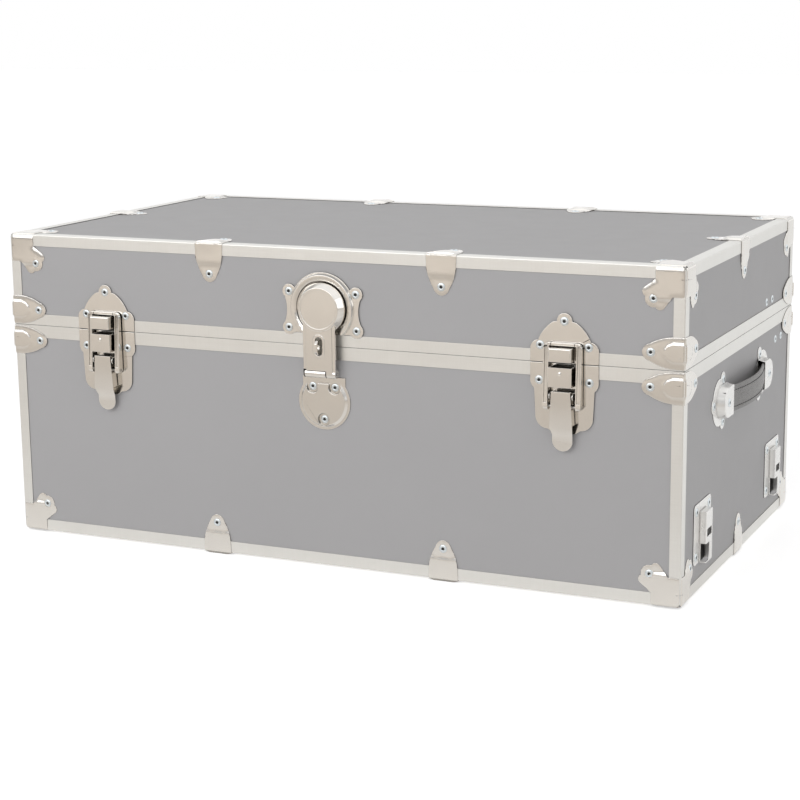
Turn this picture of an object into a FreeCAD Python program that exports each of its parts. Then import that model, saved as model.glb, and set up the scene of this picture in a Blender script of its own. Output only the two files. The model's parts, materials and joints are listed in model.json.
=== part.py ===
"""Camp trunk of plywood panels in metal edging, with stamped hardware, two draw-bolt
latches, a hasp lock, two hinges, a folding lid stay, leather handles and wheel plates.
Millimetres, +Z up, front towards -Y. The chest is drawn about its own middle with the
underside of the bottom edging at zero, and moved to the part's origin when it is saved.
"""
import FreeCAD, Part
import math
import os

V = FreeCAD.Vector
ORIGIN = V(0, 0, 0)

# Chest box, measured over the metal edging
chest_width = 812.8
chest_depth = 457.2
chest_height = 355.6
lid_height = 106.6
seam_gap = 0.4

# Plywood, edging and hardware sheet
panel_thickness = 9.5
edging_sheet = 1.0
edging_width = 13.6
upright_width = 12.8
edge_radius = 1.6
hardware_sheet = 1.1
mitre_reach = 30.0
overrun = 5.0

# Tongue and groove rails at the seam
base_rail_height = 14.8
lid_rail_height = 13.2
rail_inner_flange = 12.0
groove_offset = 3.7
groove_width = 4.8
groove_depth = 6.5
tongue_offset = 4.0
tongue_thickness = 2.0
tongue_length = 5.5
tongue_chamfer = 0.5
panel_rail_gap = 0.3

# Rivet heads
rivet_radius = 4.6
rivet_height = 0.9
rivet_crown_share = 0.55
rivet_recess = 5.0

# Corner caps: a square over the corner with a three-lobed tab on each face
cap_square = 31.8
cap_edge_radius = 3.4
cap_rivet_inset = 33.7
cap_middle_radius = 9.4
cap_lobe_far = 40.4
cap_lobe_near = 27.0
cap_lobe_radius = 5.4
cap_tangent_far = 44.0
cap_tangent_near = 22.9

# Pointed tongues of the clamps, as shares of half the width and of the length
tongue_side_share = (0.97, 0.32)
tongue_belly_share = (0.83, 0.57)
tongue_neck_share = (0.53, 0.82)
tongue_tip_share = (0.30, 0.955)

# Edge clamps: a tongue on each of the two faces that meet at an edge
clamp_half_width = 17.5
clamp_length = 44.0
clamp_rivet = 34.5
clamp_step = 18.0
clamp_rib_half = 8.5
clamp_rib_waist_half = 5.5
clamp_rib_waist = 13.0
clamp_rib_length = 18.0
clamp_rib_height = 1.3
clamp_spacing_share = 0.3457

# Clamps on the upright corners beside the seam
seam_clamp_half_height = 16.8
seam_clamp_from_seam = 1.2
seam_clamp_length = 45.0
seam_clamp_rivet = 35.5
seam_boss_length = 21.0
seam_boss_half_height = 8.0
seam_boss_proud = 1.5

# Draw-bolt latches; heights are measured up or down from the seam
latch_inset = 127.9
plate_seam_gap = 0.4
latch_plate_half = 37.5
keeper_top_rivet = 44.0
keeper_ear_radius = 8.6
keeper_notch = (12.8, 43.0)
keeper_shoulder = (24.0, 32.4)
keeper_hip = (29.0, 23.4)
keeper_flank = (36.3, 18.8)
keeper_side_top = 13.0
keeper_side_x = 26.5
keeper_side_rivet = 18.0
keeper_half_width = 12.6
keeper_low = 3.4
keeper_high = 17.9
keeper_front = 16.2
keeper_fillet = 1.6
latch_side_x = 27.5
latch_side_rivet = 19.0
latch_side_low = 17.0
latch_flank = (36.2, 24.5)
latch_hip = (33.2, 28.0)
latch_waist = (31.6, 59.0)
latch_bend = (27.8, 66.5)
latch_toe = (18.0, 70.5)
latch_foot = (12.0, 74.5)
bridge_half_width = 12.8
bridge_low = 23.0
bridge_high = 2.3
bridge_front = 15.3
bridge_bump_radius = 3.0
bridge_bump_drop = 6.3
bridge_bump_proud = 0.8
latch_sheet = 1.2
latch_pin_radius = 1.5
running_clearance = 0.05
seat_clearance = 0.02
lever_pivot_drop = 33.5
lever_pivot_out = 8.6
bail_pivot_drop = 44.6
bail_pivot_out = 5.9
ear_inner = 12.0
ear_radius = 3.8
lever_top_half = 10.5
lever_low_half = 12.6
lever_top_rise = 5.3
lever_top_out = 12.2
lever_face_drop = 66.5
lever_face_out = 11.6
lever_neck_drop = 75.0
lever_neck_out = 6.4
lever_tip_drop = 92.5
lever_tip_out = 5.2
finger_half = 11.2
lever_wall_drop = 64.0
lever_wall_back = 2.0
lever_eye_radius = 3.4
bail_inner = 15.0
bail_outer = 21.0
bail_top = 22.0
bail_bar_height = 3.1
bail_front = 6.8
bail_back = 2.6
bail_chamfer = 1.0
bail_prong_gap = 0.6
keeper_rib_gap = 0.4
bail_eye_radius = 4.3
bail_groove_depth = 1.0
bail_lip = 1.5
bail_corner = 5.5

# Hasp lock; heights are measured up or down from the seam
lock_ring_share = 0.39
lock_round_radius = 39.5
lock_ear_start = (33.0, 63.2)
lock_upper_rivet = (40.5, 58.5)
lock_lower_rivet = (41.0, 18.6)
lock_lobe_radius = 8.0
lock_waist = (43.4, 41.0)
lock_low_corner = (33.0, 13.6)
lock_ring_outer = 38.2
lock_ring_crest = 35.8
lock_ring_crest_half = 0.9
lock_ring_inner = 30.4
lock_ring_front = 4.4
lock_ring_inner_front = 2.6
lock_mouth_half = 22.5
hasp_head_base = 28.6
hasp_head_radius = 23.8
hasp_head_back = 5.0
hasp_head_front = 12.1
hasp_head_rim = 2.6
hasp_head_recess = 0.6
hasp_half_width = 19.4
hasp_sheet = 1.4
hasp_strap_front = 11.5
hasp_lip_width = 3.6
hasp_lip_step = 0.8
hasp_wall_back = 7.6
hasp_axis_drop = 29.5
hasp_axis_out = 6.6
hasp_barrel_radius = 5.0
hasp_knuckle_left = 18.0
hasp_knuckle_right = 7.4
hasp_web_end = 3.2
hasp_knuckle_gap = 0.9
knuckle_gap = 0.4
hasp_pin_radius = 1.7
hasp_slot_half = 4.2
hasp_slot_low = 20.2
hasp_slot_high = 40.8
hasp_slot_rim = 3.0
hasp_slot_rim_height = 0.4
hasp_plate_radius = 31.5
hasp_plate_drop = 62.3
hasp_plate_half = 26.0
hasp_plate_top_drop = 34.3
hasp_rivet_x = 13.5
hasp_rivet_drop = 45.6
hasp_low_rivet_drop = 82.0
hasp_boss_radius = 7.4
hasp_dome_margin = 3.0
hasp_dome_height = 2.6
staple_thickness = 3.4
staple_hole_radius = 2.75
staple_hole_out = 14.7
staple_wall = 4.4
staple_centre_rise = 0.5
staple_half_height = 7.5
staple_corner = 3.0
staple_foot_drop = 9.0
staple_clearance = 0.6

# Back hinges
hinge_spacing_share = 0.5167
hinge_width = 70.0
hinge_leaf_height = 29.0
hinge_leaf_sheet = 1.6
hinge_pin_radius = 1.6
hinge_barrel_wall = 1.6
hinge_stand_off = 0.35
hinge_knuckles = 5
hinge_rivet_drop = 22.5
hinge_rivet_spacing = 25.0

# Leather handles and their caps, on both ends
handle_drop = 59.0
strap_half_width = 14.6
strap_thickness = 4.4
strap_end = 92.0
strap_mouth = 67.5
strap_gap = 0.3
strap_bow = 8.5
dome_mouth = 68.5
dome_centre = 88.0
dome_half_base = 18.5
dome_half_top = 16.5
dome_out = 9.6
dome_sheet = 1.2
handle_side_rivet_y = 79.0
handle_side_rivet_z = 23.3
handle_end_rivet = 114.5
handle_ear_radius = 8.4
handle_plate_radius = 26.0

# Wheel bracket plates, on the right end
wheel_plate_inset = 78.1
wheel_plate_width = 64.0
wheel_plate_low = 31.0
wheel_plate_height = 66.0
wheel_plate_corner = 6.0
wheel_box_half = 12.0
wheel_box_height = 56.0
wheel_box_out = 8.0
wheel_box_sheet = 1.4
wheel_window_low = 28.0
wheel_window_height = 8.5
wheel_window_inset = 3.0
wheel_mouth_height = 21.0
wheel_rivet_inset = 8.5

# Folding lid stay inside the right end
stay_lid_inset = 107.6
stay_lid_rise = 20.0
stay_base_inset = 60.1
stay_base_drop = 31.0
stay_plate_half = 21.0
stay_plate_half_height = 7.5
stay_plate_sheet = 1.2
stay_rivet_spacing = 26.5
stay_bar_half = 6.0
stay_bar_sheet = 2.0
stay_side_gap = 0.4
stay_pin_radius = 2.4
stay_pin_head = 4.2
stay_pin_head_height = 1.0
lid_open_angle = 100.0

# Derived planes and places
seam_height = chest_height - lid_height
half_width = chest_width / 2
half_depth = chest_depth / 2
front = -half_depth
back = half_depth
base_top = seam_height - seam_gap / 2
lid_bottom = seam_height + seam_gap / 2
rail_depth = edging_sheet * 2 + panel_thickness
groove_floor = base_top - groove_depth
base_panel_top = groove_floor - edging_sheet - panel_rail_gap
lid_panel_bottom = lid_bottom + edging_sheet
hinge_barrel_radius = hinge_pin_radius + hinge_barrel_wall
hinge_axis_y = back + hinge_stand_off + hinge_barrel_radius
front_reach = staple_hole_out + staple_wall
back_reach = hinge_stand_off + 2 * hinge_barrel_radius
clamp_spacing = chest_width * clamp_spacing_share
latch_spacing = chest_width - 2 * latch_inset
lock_ring_rise = lid_height * lock_ring_share
hinge_spacing = chest_width * hinge_spacing_share
handle_height = seam_height - handle_drop
wheel_plate_y = half_depth - wheel_plate_inset
stay_lid_y = half_depth - stay_lid_inset
stay_base_y = half_depth - stay_base_inset
origin_shift = V(0, (front_reach - back_reach) / 2, hardware_sheet + clamp_rib_height)


def box(x0, x1, y0, y1, z0, z1):
    """Block between two corners."""
    return Part.makeBox(x1 - x0, y1 - y0, z1 - z0, V(x0, y0, z0))


def joined(shapes):
    """One solid out of touching or crossing solids."""
    whole = shapes[0]
    for shape in shapes[1:]:
        whole = whole.fuse(shape)
    return whole.removeSplitter()


def group(shapes):
    """Separate solids kept together."""
    solids = []
    for shape in shapes:
        solids += shape.Solids
    return Part.makeCompound(solids)


def moved(shape, x=0.0, y=0.0, z=0.0):
    """Copy of a shape at another place."""
    copy = shape.copy()
    copy.translate(V(x, y, z))
    return copy


def mirror_x(shape):
    """The same shape on the other side of the chest's middle, left for right."""
    return shape.mirror(ORIGIN, V(1, 0, 0))


def mirror_y(shape):
    """The same shape, front for back."""
    return shape.mirror(ORIGIN, V(0, 1, 0))


def mirror_z(shape):
    """The same shape, upside down about height zero."""
    return shape.mirror(ORIGIN, V(0, 0, 1))


def save(node, shape):
    """Write one node, moved to the part's origin."""
    moved(shape, origin_shift.x, origin_shift.y, origin_shift.z).exportStep("parts/" + node + ".step")


def outline_edges(start, steps):
    """Edges of a front view: each step is a point, or an arc's middle and end points."""
    edges = []
    here = V(start[0], 0, start[1])
    for step in steps:
        if isinstance(step[0], tuple):
            middle = V(step[0][0], 0, step[0][1])
            there = V(step[1][0], 0, step[1][1])
            edges.append(Part.Arc(here, middle, there).toShape())
        else:
            there = V(step[0], 0, step[1])
            edges.append(Part.LineSegment(here, there).toShape())
        here = there
    return edges


def face_from(edges):
    """Flat face inside a loop of edges."""
    return Part.Face(Part.Wire(Part.__sortEdges__(edges)))


def even_face(start, steps):
    """Face given by its right half, from the middle line round to the middle line."""
    right = outline_edges(start, steps)
    return face_from(right + [mirror_x(edge) for edge in right])


def face_of(points):
    """Flat face through the points of a front view."""
    corners = [V(x, 0, z) for x, z in points]
    return Part.Face(Part.makePolygon(corners + corners[:1]))


def outward(face, low, high):
    """Front view thickened from low to high, measured out from the chest's front."""
    return moved(face, y=-high).extrude(V(0, high - low, 0))


def disc(x, z, radius, low, high):
    """Round plate on the front, from low to high."""
    return Part.makeCylinder(radius, high - low, V(x, -high, z), V(0, 1, 0))


def across(points, x0, x1):
    """Profile of (out, height) points carried across the front from x0 to x1."""
    corners = [V(x0, -out, z) for out, z in points]
    return Part.Face(Part.makePolygon(corners + corners[:1])).extrude(V(x1 - x0, 0, 0))


def rod(radius, x0, x1, out, z):
    """Round bar lying across the front."""
    return Part.makeCylinder(radius, x1 - x0, V(x0, -out, z), V(1, 0, 0))


def rivet(x, z, seat=hardware_sheet):
    """Domed rivet head seated on a plate whose face is at the given height."""
    crown = rivet_radius * rivet_crown_share
    return Part.makeCone(rivet_radius, crown, rivet_height, V(x, -seat, z), V(0, -1, 0))


def on_front(shape, x=0.0):
    """Hardware drawn on the plane y = 0 about the seam, set on the chest's front."""
    return moved(shape, x, front, seam_height)


def on_back(shape, x=0.0):
    """Hardware drawn on the plane y = 0 about the seam, set on the chest's back."""
    return mirror_y(on_front(shape, x))


def on_end(shape, side):
    """Hardware drawn on the plane y = 0 with x towards the back, set on one end."""
    turned = shape.copy()
    turned.rotate(ORIGIN, V(0, 0, 1), 90)
    turned.translate(V(half_width, 0, 0))
    return turned if side > 0 else mirror_x(turned)


def core_box():
    """The chest's outer form with every edge rounded."""
    block = box(-half_width, half_width, front, back, 0, chest_height)
    return block.makeFillet(edge_radius, block.Edges)


def mitred_ring(profile):
    """Four lengths of a profile of (depth in from the face, height) with mitred ends."""
    low = min(z for u, z in profile) - overrun
    high = max(z for u, z in profile) + overrun
    lengths = []
    for half, reach, turn in ((half_width, half_depth, 0), (half_depth, half_width, 90)):
        corners = [V(-half, -reach + u, z) for u, z in profile]
        bar = Part.Face(Part.makePolygon(corners + corners[:1])).extrude(V(2 * half, 0, 0))
        trim = [
            V(-half, -reach, low),
            V(half, -reach, low),
            V(half - mitre_reach, -reach + mitre_reach, low),
            V(-half + mitre_reach, -reach + mitre_reach, low),
        ]
        wedge = Part.Face(Part.makePolygon(trim + trim[:1])).extrude(V(0, 0, high - low))
        bar = bar.common(wedge)
        bar.rotate(ORIGIN, V(0, 0, 1), turn)
        bar = bar.common(core)
        lengths += [bar, mirror_x(bar) if turn else mirror_y(bar)]
    return lengths


def upright_lengths(low, high):
    """Four L-section lengths of edging on the upright corners."""
    section = [(0, 0), (upright_width, 0), (upright_width, edging_sheet),
               (edging_sheet, edging_sheet), (edging_sheet, upright_width), (0, upright_width)]
    points = [V(half_width - a, front + b, low) for a, b in section]
    bar = Part.Face(Part.makePolygon(points + points[:1])).extrude(V(0, 0, high - low))
    bar = bar.common(core)
    pair = [bar, mirror_x(bar)]
    return pair + [mirror_y(piece) for piece in pair]


def edging_profile():
    """L section of the bottom edging."""
    return [(0, 0), (edging_width, 0), (edging_width, edging_sheet),
            (edging_sheet, edging_sheet), (edging_sheet, edging_width), (0, edging_width)]


def base_rail_profile():
    """Grooved rail on the base's rim."""
    g0 = groove_offset
    g1 = groove_offset + groove_width
    s = edging_sheet
    low = seam_height - base_rail_height
    top = base_top
    inner = rail_depth
    flange = top - rail_inner_flange
    return [(0, low), (0, top), (g0, top), (g0, groove_floor), (g1, groove_floor), (g1, top),
            (inner, top), (inner, flange), (inner - s, flange), (inner - s, top - s),
            (g1 + s, top - s), (g1 + s, groove_floor - s), (g0 - s, groove_floor - s),
            (g0 - s, top - s), (s, top - s), (s, low)]


def lid_rail_profile():
    """Tongued rail on the lid's rim."""
    t0 = tongue_offset
    t1 = tongue_offset + tongue_thickness
    s = edging_sheet
    c = tongue_chamfer
    low = lid_bottom
    high = seam_height + lid_rail_height
    tip = lid_bottom - tongue_length
    inner = rail_depth
    return [(0, low), (0, high), (s, high), (s, low + s), (inner - s, low + s),
            (inner - s, low + rail_inner_flange), (inner, low + rail_inner_flange), (inner, low),
            (t1, low), (t1, tip + c), (t1 - c, tip), (t0 + c, tip), (t0, tip + c), (t0, low)]


def save_panels(prefix, flat_name, flat_low, wall_low, wall_high):
    """One flat panel and four walls; the long walls lap the ends of the short ones."""
    x = half_width - edging_sheet
    y = half_depth - edging_sheet
    t = panel_thickness
    save(prefix + "_front_panel", box(-x, x, -y, -y + t, wall_low, wall_high))
    save(prefix + "_back_panel", box(-x, x, y - t, y, wall_low, wall_high))
    save(prefix + "_left_panel", box(-x, -x + t, -y + t, y - t, wall_low, wall_high))
    save(prefix + "_right_panel", box(x - t, x, -y + t, y - t, wall_low, wall_high))
    save(flat_name, box(-x, x, -y, y, flat_low, flat_low + t).common(core))


def turned_three_ways(shape):
    """The same piece on each of the three faces that meet at the corner."""
    copies = []
    for turn in (0, 120, 240):
        copy = shape.copy()
        copy.rotate(ORIGIN, V(1, -1, 1), turn)
        copies.append(copy)
    return copies


def corner_cap():
    """Stamped cap of a front right top corner, with the corner at the origin."""
    t = hardware_sheet
    e = edging_sheet
    size = cap_square
    reach = size + 2 * overrun
    inside = box(-reach, 0, 0, reach, -reach, 0)
    inside = inside.makeFillet(edge_radius, inside.Edges)
    outside = box(-reach, t, -t, reach, -reach, t)
    outside = outside.makeFillet(cap_edge_radius, outside.Edges)
    skin = outside.cut(inside).common(box(-size, t, -t, size, -size, t))
    web = face_of([(-edging_width, -edging_width), (-size, -edging_width),
                   (-cap_tangent_far, -cap_tangent_near), (-cap_lobe_far, -cap_lobe_near),
                   (-cap_rivet_inset, -cap_rivet_inset), (-cap_lobe_near, -cap_lobe_far),
                   (-cap_tangent_near, -cap_tangent_far), (-edging_width, -size)])
    tab = outward(web, -e, t - e)
    for a, b, radius in ((cap_rivet_inset, cap_rivet_inset, cap_middle_radius),
                         (cap_lobe_far, cap_lobe_near, cap_lobe_radius),
                         (cap_lobe_near, cap_lobe_far, cap_lobe_radius)):
        tab = tab.fuse(disc(-a, -b, radius, -e, t - e))
    tab = tab.fuse(box(-size, -edging_width, -t, e, -size, -edging_width))
    cap = joined([skin] + turned_three_ways(tab))
    for recess in turned_three_ways(disc(-cap_rivet_inset, -cap_rivet_inset, rivet_recess, t - e, t + e)):
        cap = cap.cut(recess)
    return cap


def at_corners(shape, top):
    """A front right top corner piece repeated at the four corners of the top or the bottom."""
    if top:
        piece = moved(shape, half_width, front, chest_height)
    else:
        piece = moved(mirror_z(shape), half_width, front)
    pair = [piece, mirror_x(piece)]
    return pair + [mirror_y(copy) for copy in pair]


def tongue_face(half, length):
    """Pointed tongue hanging from height zero."""
    side, belly, neck, tip = [
        (half * a, -length * b)
        for a, b in (tongue_side_share, tongue_belly_share, tongue_neck_share, tongue_tip_share)
    ]
    return even_face((0, 0), [(half, 0), side, (belly, neck), (tip, (0, -length))])


def round_face(half, length):
    """Round-ended tongue hanging from height zero."""
    slant = half * math.sqrt(0.5)
    straight = length - half
    return even_face((0, 0), [(half, 0), (half, -straight), ((slant, -straight - slant), (0, -length))])


def cutter_of(face, half, length):
    """Everything behind, before and above the outline of a tongue."""
    depth = length + 2 * overrun
    below = outward(face, -depth, overrun)
    return below.fuse(box(-half, half, -overrun, depth, 0, overrun))


def edge_clamp():
    """Clamp folded over the front top edge, with the edge on the X axis."""
    t = hardware_sheet
    e = edging_sheet
    r = edge_radius
    w = edging_width
    end = clamp_length + overrun
    step = clamp_step
    half = clamp_half_width
    outer_mid = (edge_radius + t) * math.sqrt(0.5)
    inner_mid = edge_radius * math.sqrt(0.5)

    def at(depth, height):
        return V(-half, depth, height)

    edges = []
    loop = [at(e, -end), at(e - t, -end), at(e - t, -step), at(-t, -step), at(-t, -r)]
    loop_top = [at(r, t), at(step, t), at(step, t - e), at(end, t - e), at(end, -e), at(w, -e),
                at(w, 0), at(r, 0)]
    loop_in = [at(0, -r), at(0, -w), at(e, -w), at(e, -end)]
    for path in (loop, loop_top, loop_in):
        for a, b in zip(path, path[1:]):
            edges.append(Part.LineSegment(a, b).toShape())
    edges.append(Part.Arc(at(-t, -r), at(r - outer_mid, outer_mid - r), at(r, t)).toShape())
    edges.append(Part.Arc(at(r, 0), at(r - inner_mid, inner_mid - r), at(0, -r)).toShape())
    strip = face_from(edges).extrude(V(2 * half, 0, 0))
    cutter = cutter_of(tongue_face(half, clamp_length), half, clamp_length)
    strip = strip.common(cutter).common(cutter.mirror(ORIGIN, V(0, 1, 1)))
    rib = even_face((0, -r), [(clamp_rib_half, -r), (clamp_rib_waist_half, -clamp_rib_waist),
                              (0, -clamp_rib_length)])
    front_rib = outward(rib, t / 2, t + clamp_rib_height)
    return joined([strip, front_rib, front_rib.mirror(ORIGIN, V(0, 1, 1))])


def clamp_places(shape, top):
    """Edge clamps: two on the front and the back edge and one on each end."""
    piece = moved(shape, 0, front, chest_height) if top else moved(mirror_z(shape), 0, front)
    long_side = [moved(piece, x=x) for x in (-clamp_spacing / 2, clamp_spacing / 2)]
    end = piece.copy()
    end.translate(V(0, -front - half_width, 0))
    end.rotate(ORIGIN, V(0, 0, 1), 90)
    return long_side + [mirror_y(copy) for copy in long_side] + [end, mirror_x(end)]


def edge_clamp_rivets():
    """Two rivets of an edge clamp."""
    head = rivet(0, -clamp_rivet, hardware_sheet - edging_sheet)
    return Part.makeCompound([head, head.mirror(ORIGIN, V(0, 1, 1))])


def seam_clamp(frame_parts):
    """Clamp wrapped round the front right upright above the seam, cut to the frame."""
    t = hardware_sheet
    e = edging_sheet
    r = edge_radius
    low = seam_height + seam_clamp_from_seam
    height = 2 * seam_clamp_half_height
    middle = low + seam_clamp_half_height

    def wrap(reach, inner, outer, z0, z1):
        """L-shaped wall round the upright, from inner to outer, rounded outside."""
        mid = (r + outer) * math.sqrt(0.5)
        a = V(-reach, -outer, z0)
        b = V(-r, -outer, z0)
        c = V(mid - r, r - mid, z0)
        d = V(outer, r, z0)
        path = [d, V(outer, reach, z0), V(-inner, reach, z0), V(-inner, inner, z0),
                V(-reach, inner, z0), a, b]
        edges = [Part.LineSegment(p, q).toShape() for p, q in zip(path, path[1:])]
        edges.append(Part.Arc(b, c, d).toShape())
        wall = face_from(edges).extrude(V(0, 0, z1 - z0))
        return moved(wall, half_width, front)

    def shaped(wall, face, half, length):
        """Wall cut to a sideways tongue on both of its faces."""
        cutter = cutter_of(face, half, length)
        cutter.rotate(ORIGIN, V(0, 1, 0), 90)
        cutter = moved(cutter, half_width, front, middle)
        diagonal = cutter.mirror(V(half_width, front, 0), V(1, 1, 0))
        return wall.common(cutter).common(diagonal)

    half = seam_clamp_half_height
    boss_half = seam_boss_half_height
    wall = shaped(wrap(seam_clamp_length, e, t, low, low + height),
                  tongue_face(half, seam_clamp_length), half, seam_clamp_length)
    boss = shaped(wrap(seam_boss_length, 0, t + seam_boss_proud, middle - boss_half, middle + boss_half),
                  round_face(boss_half, seam_boss_length), boss_half, seam_boss_length)
    wall = joined([wall, boss.cut(core)])
    for piece in frame_parts:
        wall = wall.cut(piece)
    return wall


def seam_clamp_rivets():
    """Two rivets of an upright clamp."""
    middle = seam_height + seam_clamp_from_seam + seam_clamp_half_height
    head = moved(rivet(-seam_clamp_rivet, 0), half_width, front, middle)
    return Part.makeCompound([head, head.mirror(V(half_width, front, 0), V(1, 1, 0))])


def four_uprights(shape):
    """A front right piece repeated on the four upright corners."""
    pair = [shape, mirror_x(shape)]
    return pair + [mirror_y(copy) for copy in pair]


def below_seam(shape):
    """The same piece turned over about the seam."""
    return shape.mirror(V(0, 0, seam_height), V(0, 0, 1))


def rail_on_front(rails):
    """The rails, moved to where hardware is drawn about the seam."""
    return [moved(rail, y=half_depth, z=-seam_height) for rail in rails]


def over_rail(face, rails):
    """Stamped plate: on the rail's face beside the seam and filled to the panel beyond it."""
    plate = outward(face, -edging_sheet, hardware_sheet)
    for rail in rail_on_front(rails):
        plate = plate.cut(rail)
    return plate


def keeper_plate(rails):
    """Latch plate on the lid with its box keeper, open below, and the rib that the bail closes round."""
    t = hardware_sheet
    slant = math.sqrt(0.5) * keeper_ear_radius
    face = even_face((0, keeper_top_rivet + keeper_ear_radius), [
        ((slant, keeper_top_rivet + slant), (keeper_ear_radius, keeper_top_rivet)),
        keeper_notch,
        (keeper_shoulder, keeper_hip),
        (keeper_flank, (latch_plate_half, keeper_side_top)),
        (latch_plate_half, plate_seam_gap),
        (0, plate_seam_gap),
    ])
    shell = box(-keeper_half_width, keeper_half_width, -keeper_front, 0, keeper_low, keeper_high)
    rounded = [edge for edge in shell.Edges
               if edge.CenterOfMass.y < -keeper_front / 2 and edge.CenterOfMass.z > keeper_low + t]
    shell = shell.makeFillet(keeper_fillet, rounded)
    hollow = box(t - keeper_half_width, keeper_half_width - t, t - keeper_front, -t,
                 keeper_low - overrun, keeper_high - t)
    rib_half = keeper_half_width + bail_prong_gap - keeper_rib_gap
    rib = box(-rib_half, rib_half, -bail_front, 0, bail_top - bail_bar_height, bail_top)
    return joined([over_rail(face, rails), shell.cut(hollow), rib])


def keeper_rivets():
    """Three rivets of the plate on the lid."""
    return Part.makeCompound([rivet(0, keeper_top_rivet), rivet(-keeper_side_x, keeper_side_rivet),
                              rivet(keeper_side_x, keeper_side_rivet)])


def latch_base_plate(rails):
    """Latch plate on the base with its bridge and the two ears that carry the lever's pin."""
    t = hardware_sheet
    face = even_face((0, -plate_seam_gap), [
        (latch_plate_half, -plate_seam_gap),
        (latch_plate_half, -latch_side_low),
        ((latch_flank[0], -latch_flank[1]), (latch_hip[0], -latch_hip[1])),
        (latch_waist[0], -latch_waist[1]),
        ((latch_bend[0], -latch_bend[1]), (latch_toe[0], -latch_toe[1])),
        (latch_foot[0], -latch_foot[1]),
        (0, -latch_foot[1]),
    ])
    plate = over_rail(face, rails)
    half = bridge_half_width
    bridge = box(-half, half, -bridge_front, 0, -bridge_low, -bridge_high)
    bridge = bridge.cut(box(t - half, half - t, t - bridge_front, overrun, -bridge_low - overrun, overrun))
    bump_out = bridge_front - bridge_bump_radius + bridge_bump_proud
    bump = Part.makeSphere(bridge_bump_radius, V(0, -bump_out, -bridge_high - bridge_bump_drop))
    bump = bump.common(box(-half, half, -2 * bridge_front, t / 2 - bridge_front, -bridge_low, 0))
    pieces = [plate, bridge, bump]
    pivot_out = lever_pivot_out
    for inner in (ear_inner, -ear_inner - latch_sheet):
        stem = across([(0, -lever_pivot_drop - ear_radius), (pivot_out, -lever_pivot_drop - ear_radius),
                       (pivot_out, -lever_pivot_drop + ear_radius), (0, -lever_pivot_drop + ear_radius)],
                      inner, inner + latch_sheet)
        ear = stem.fuse(rod(ear_radius, inner, inner + latch_sheet, pivot_out, -lever_pivot_drop))
        pieces.append(ear)
    pin_seat = rod(latch_pin_radius + seat_clearance, -latch_plate_half, latch_plate_half,
                   pivot_out, -lever_pivot_drop)
    return joined(pieces).cut(pin_seat)


def latch_base_rivets():
    """Two rivets of the plate on the base."""
    return Part.makeCompound([rivet(x, -latch_side_rivet) for x in (-latch_side_x, latch_side_x)])


def lever_pin():
    """Pin in the base plate's ears."""
    reach = ear_inner + latch_sheet
    return rod(latch_pin_radius, -reach, reach, lever_pivot_out, -lever_pivot_drop)


def bail_pin():
    """Pin fixed in the bail's two arms, turning in the lever."""
    return rod(latch_pin_radius, -bail_outer, bail_outer, bail_pivot_out, -bail_pivot_drop)


def latch_lever():
    """Channel-shaped lever with a round-ended finger."""
    s = latch_sheet
    top = lever_top_rise - lever_pivot_drop
    sheet = across([(lever_top_out, top), (lever_face_out, -lever_face_drop),
                    (lever_neck_out, -lever_neck_drop), (lever_tip_out, -lever_tip_drop),
                    (lever_tip_out - s, -lever_tip_drop), (lever_neck_out - s, -lever_neck_drop),
                    (lever_face_out - s, -lever_face_drop), (lever_top_out - s, top)],
                   -lever_low_half, lever_low_half)
    tip = finger_half - lever_tip_drop
    slant = finger_half * math.sqrt(0.5)
    outline = even_face((0, top), [
        (lever_top_half, top),
        (lever_low_half, -lever_face_drop),
        (finger_half, -lever_neck_drop),
        (finger_half, tip),
        ((slant, tip - slant), (0, -lever_tip_drop)),
    ])
    sides = across([(lever_top_out - s / 2, top), (lever_face_out - s / 2, -lever_wall_drop),
                    (lever_wall_back, -lever_wall_drop), (lever_wall_back, -bail_pivot_drop),
                    (lever_pivot_out, -lever_pivot_drop), (lever_pivot_out, top)],
                   -lever_low_half, lever_low_half)
    for out, drop in ((lever_pivot_out, lever_pivot_drop), (bail_pivot_out, bail_pivot_drop)):
        sides = sides.fuse(rod(lever_eye_radius, -lever_low_half, lever_low_half, out, -drop))
    top_edge = top + overrun
    outer = even_face((0, top_edge), [(lever_top_half, top_edge), (lever_top_half, top),
                                      (lever_low_half, -lever_face_drop), (0, -lever_face_drop)])
    inner = even_face((0, top_edge), [(lever_top_half - s, top_edge), (lever_top_half - s, top),
                                      (lever_low_half - s, -lever_face_drop), (0, -lever_face_drop)])
    band = outward(outer, 0, lever_top_out).cut(outward(inner, 0, lever_top_out))
    lever = joined([sheet.common(outward(outline, 0, lever_top_out)), sides.common(band)])
    lever = lever.cut(rod(latch_pin_radius + running_clearance, -bail_outer, bail_outer,
                          lever_pivot_out, -lever_pivot_drop))
    return lever.cut(rod(latch_pin_radius + running_clearance, -bail_outer, bail_outer,
                         bail_pivot_out, -bail_pivot_drop))


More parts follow.
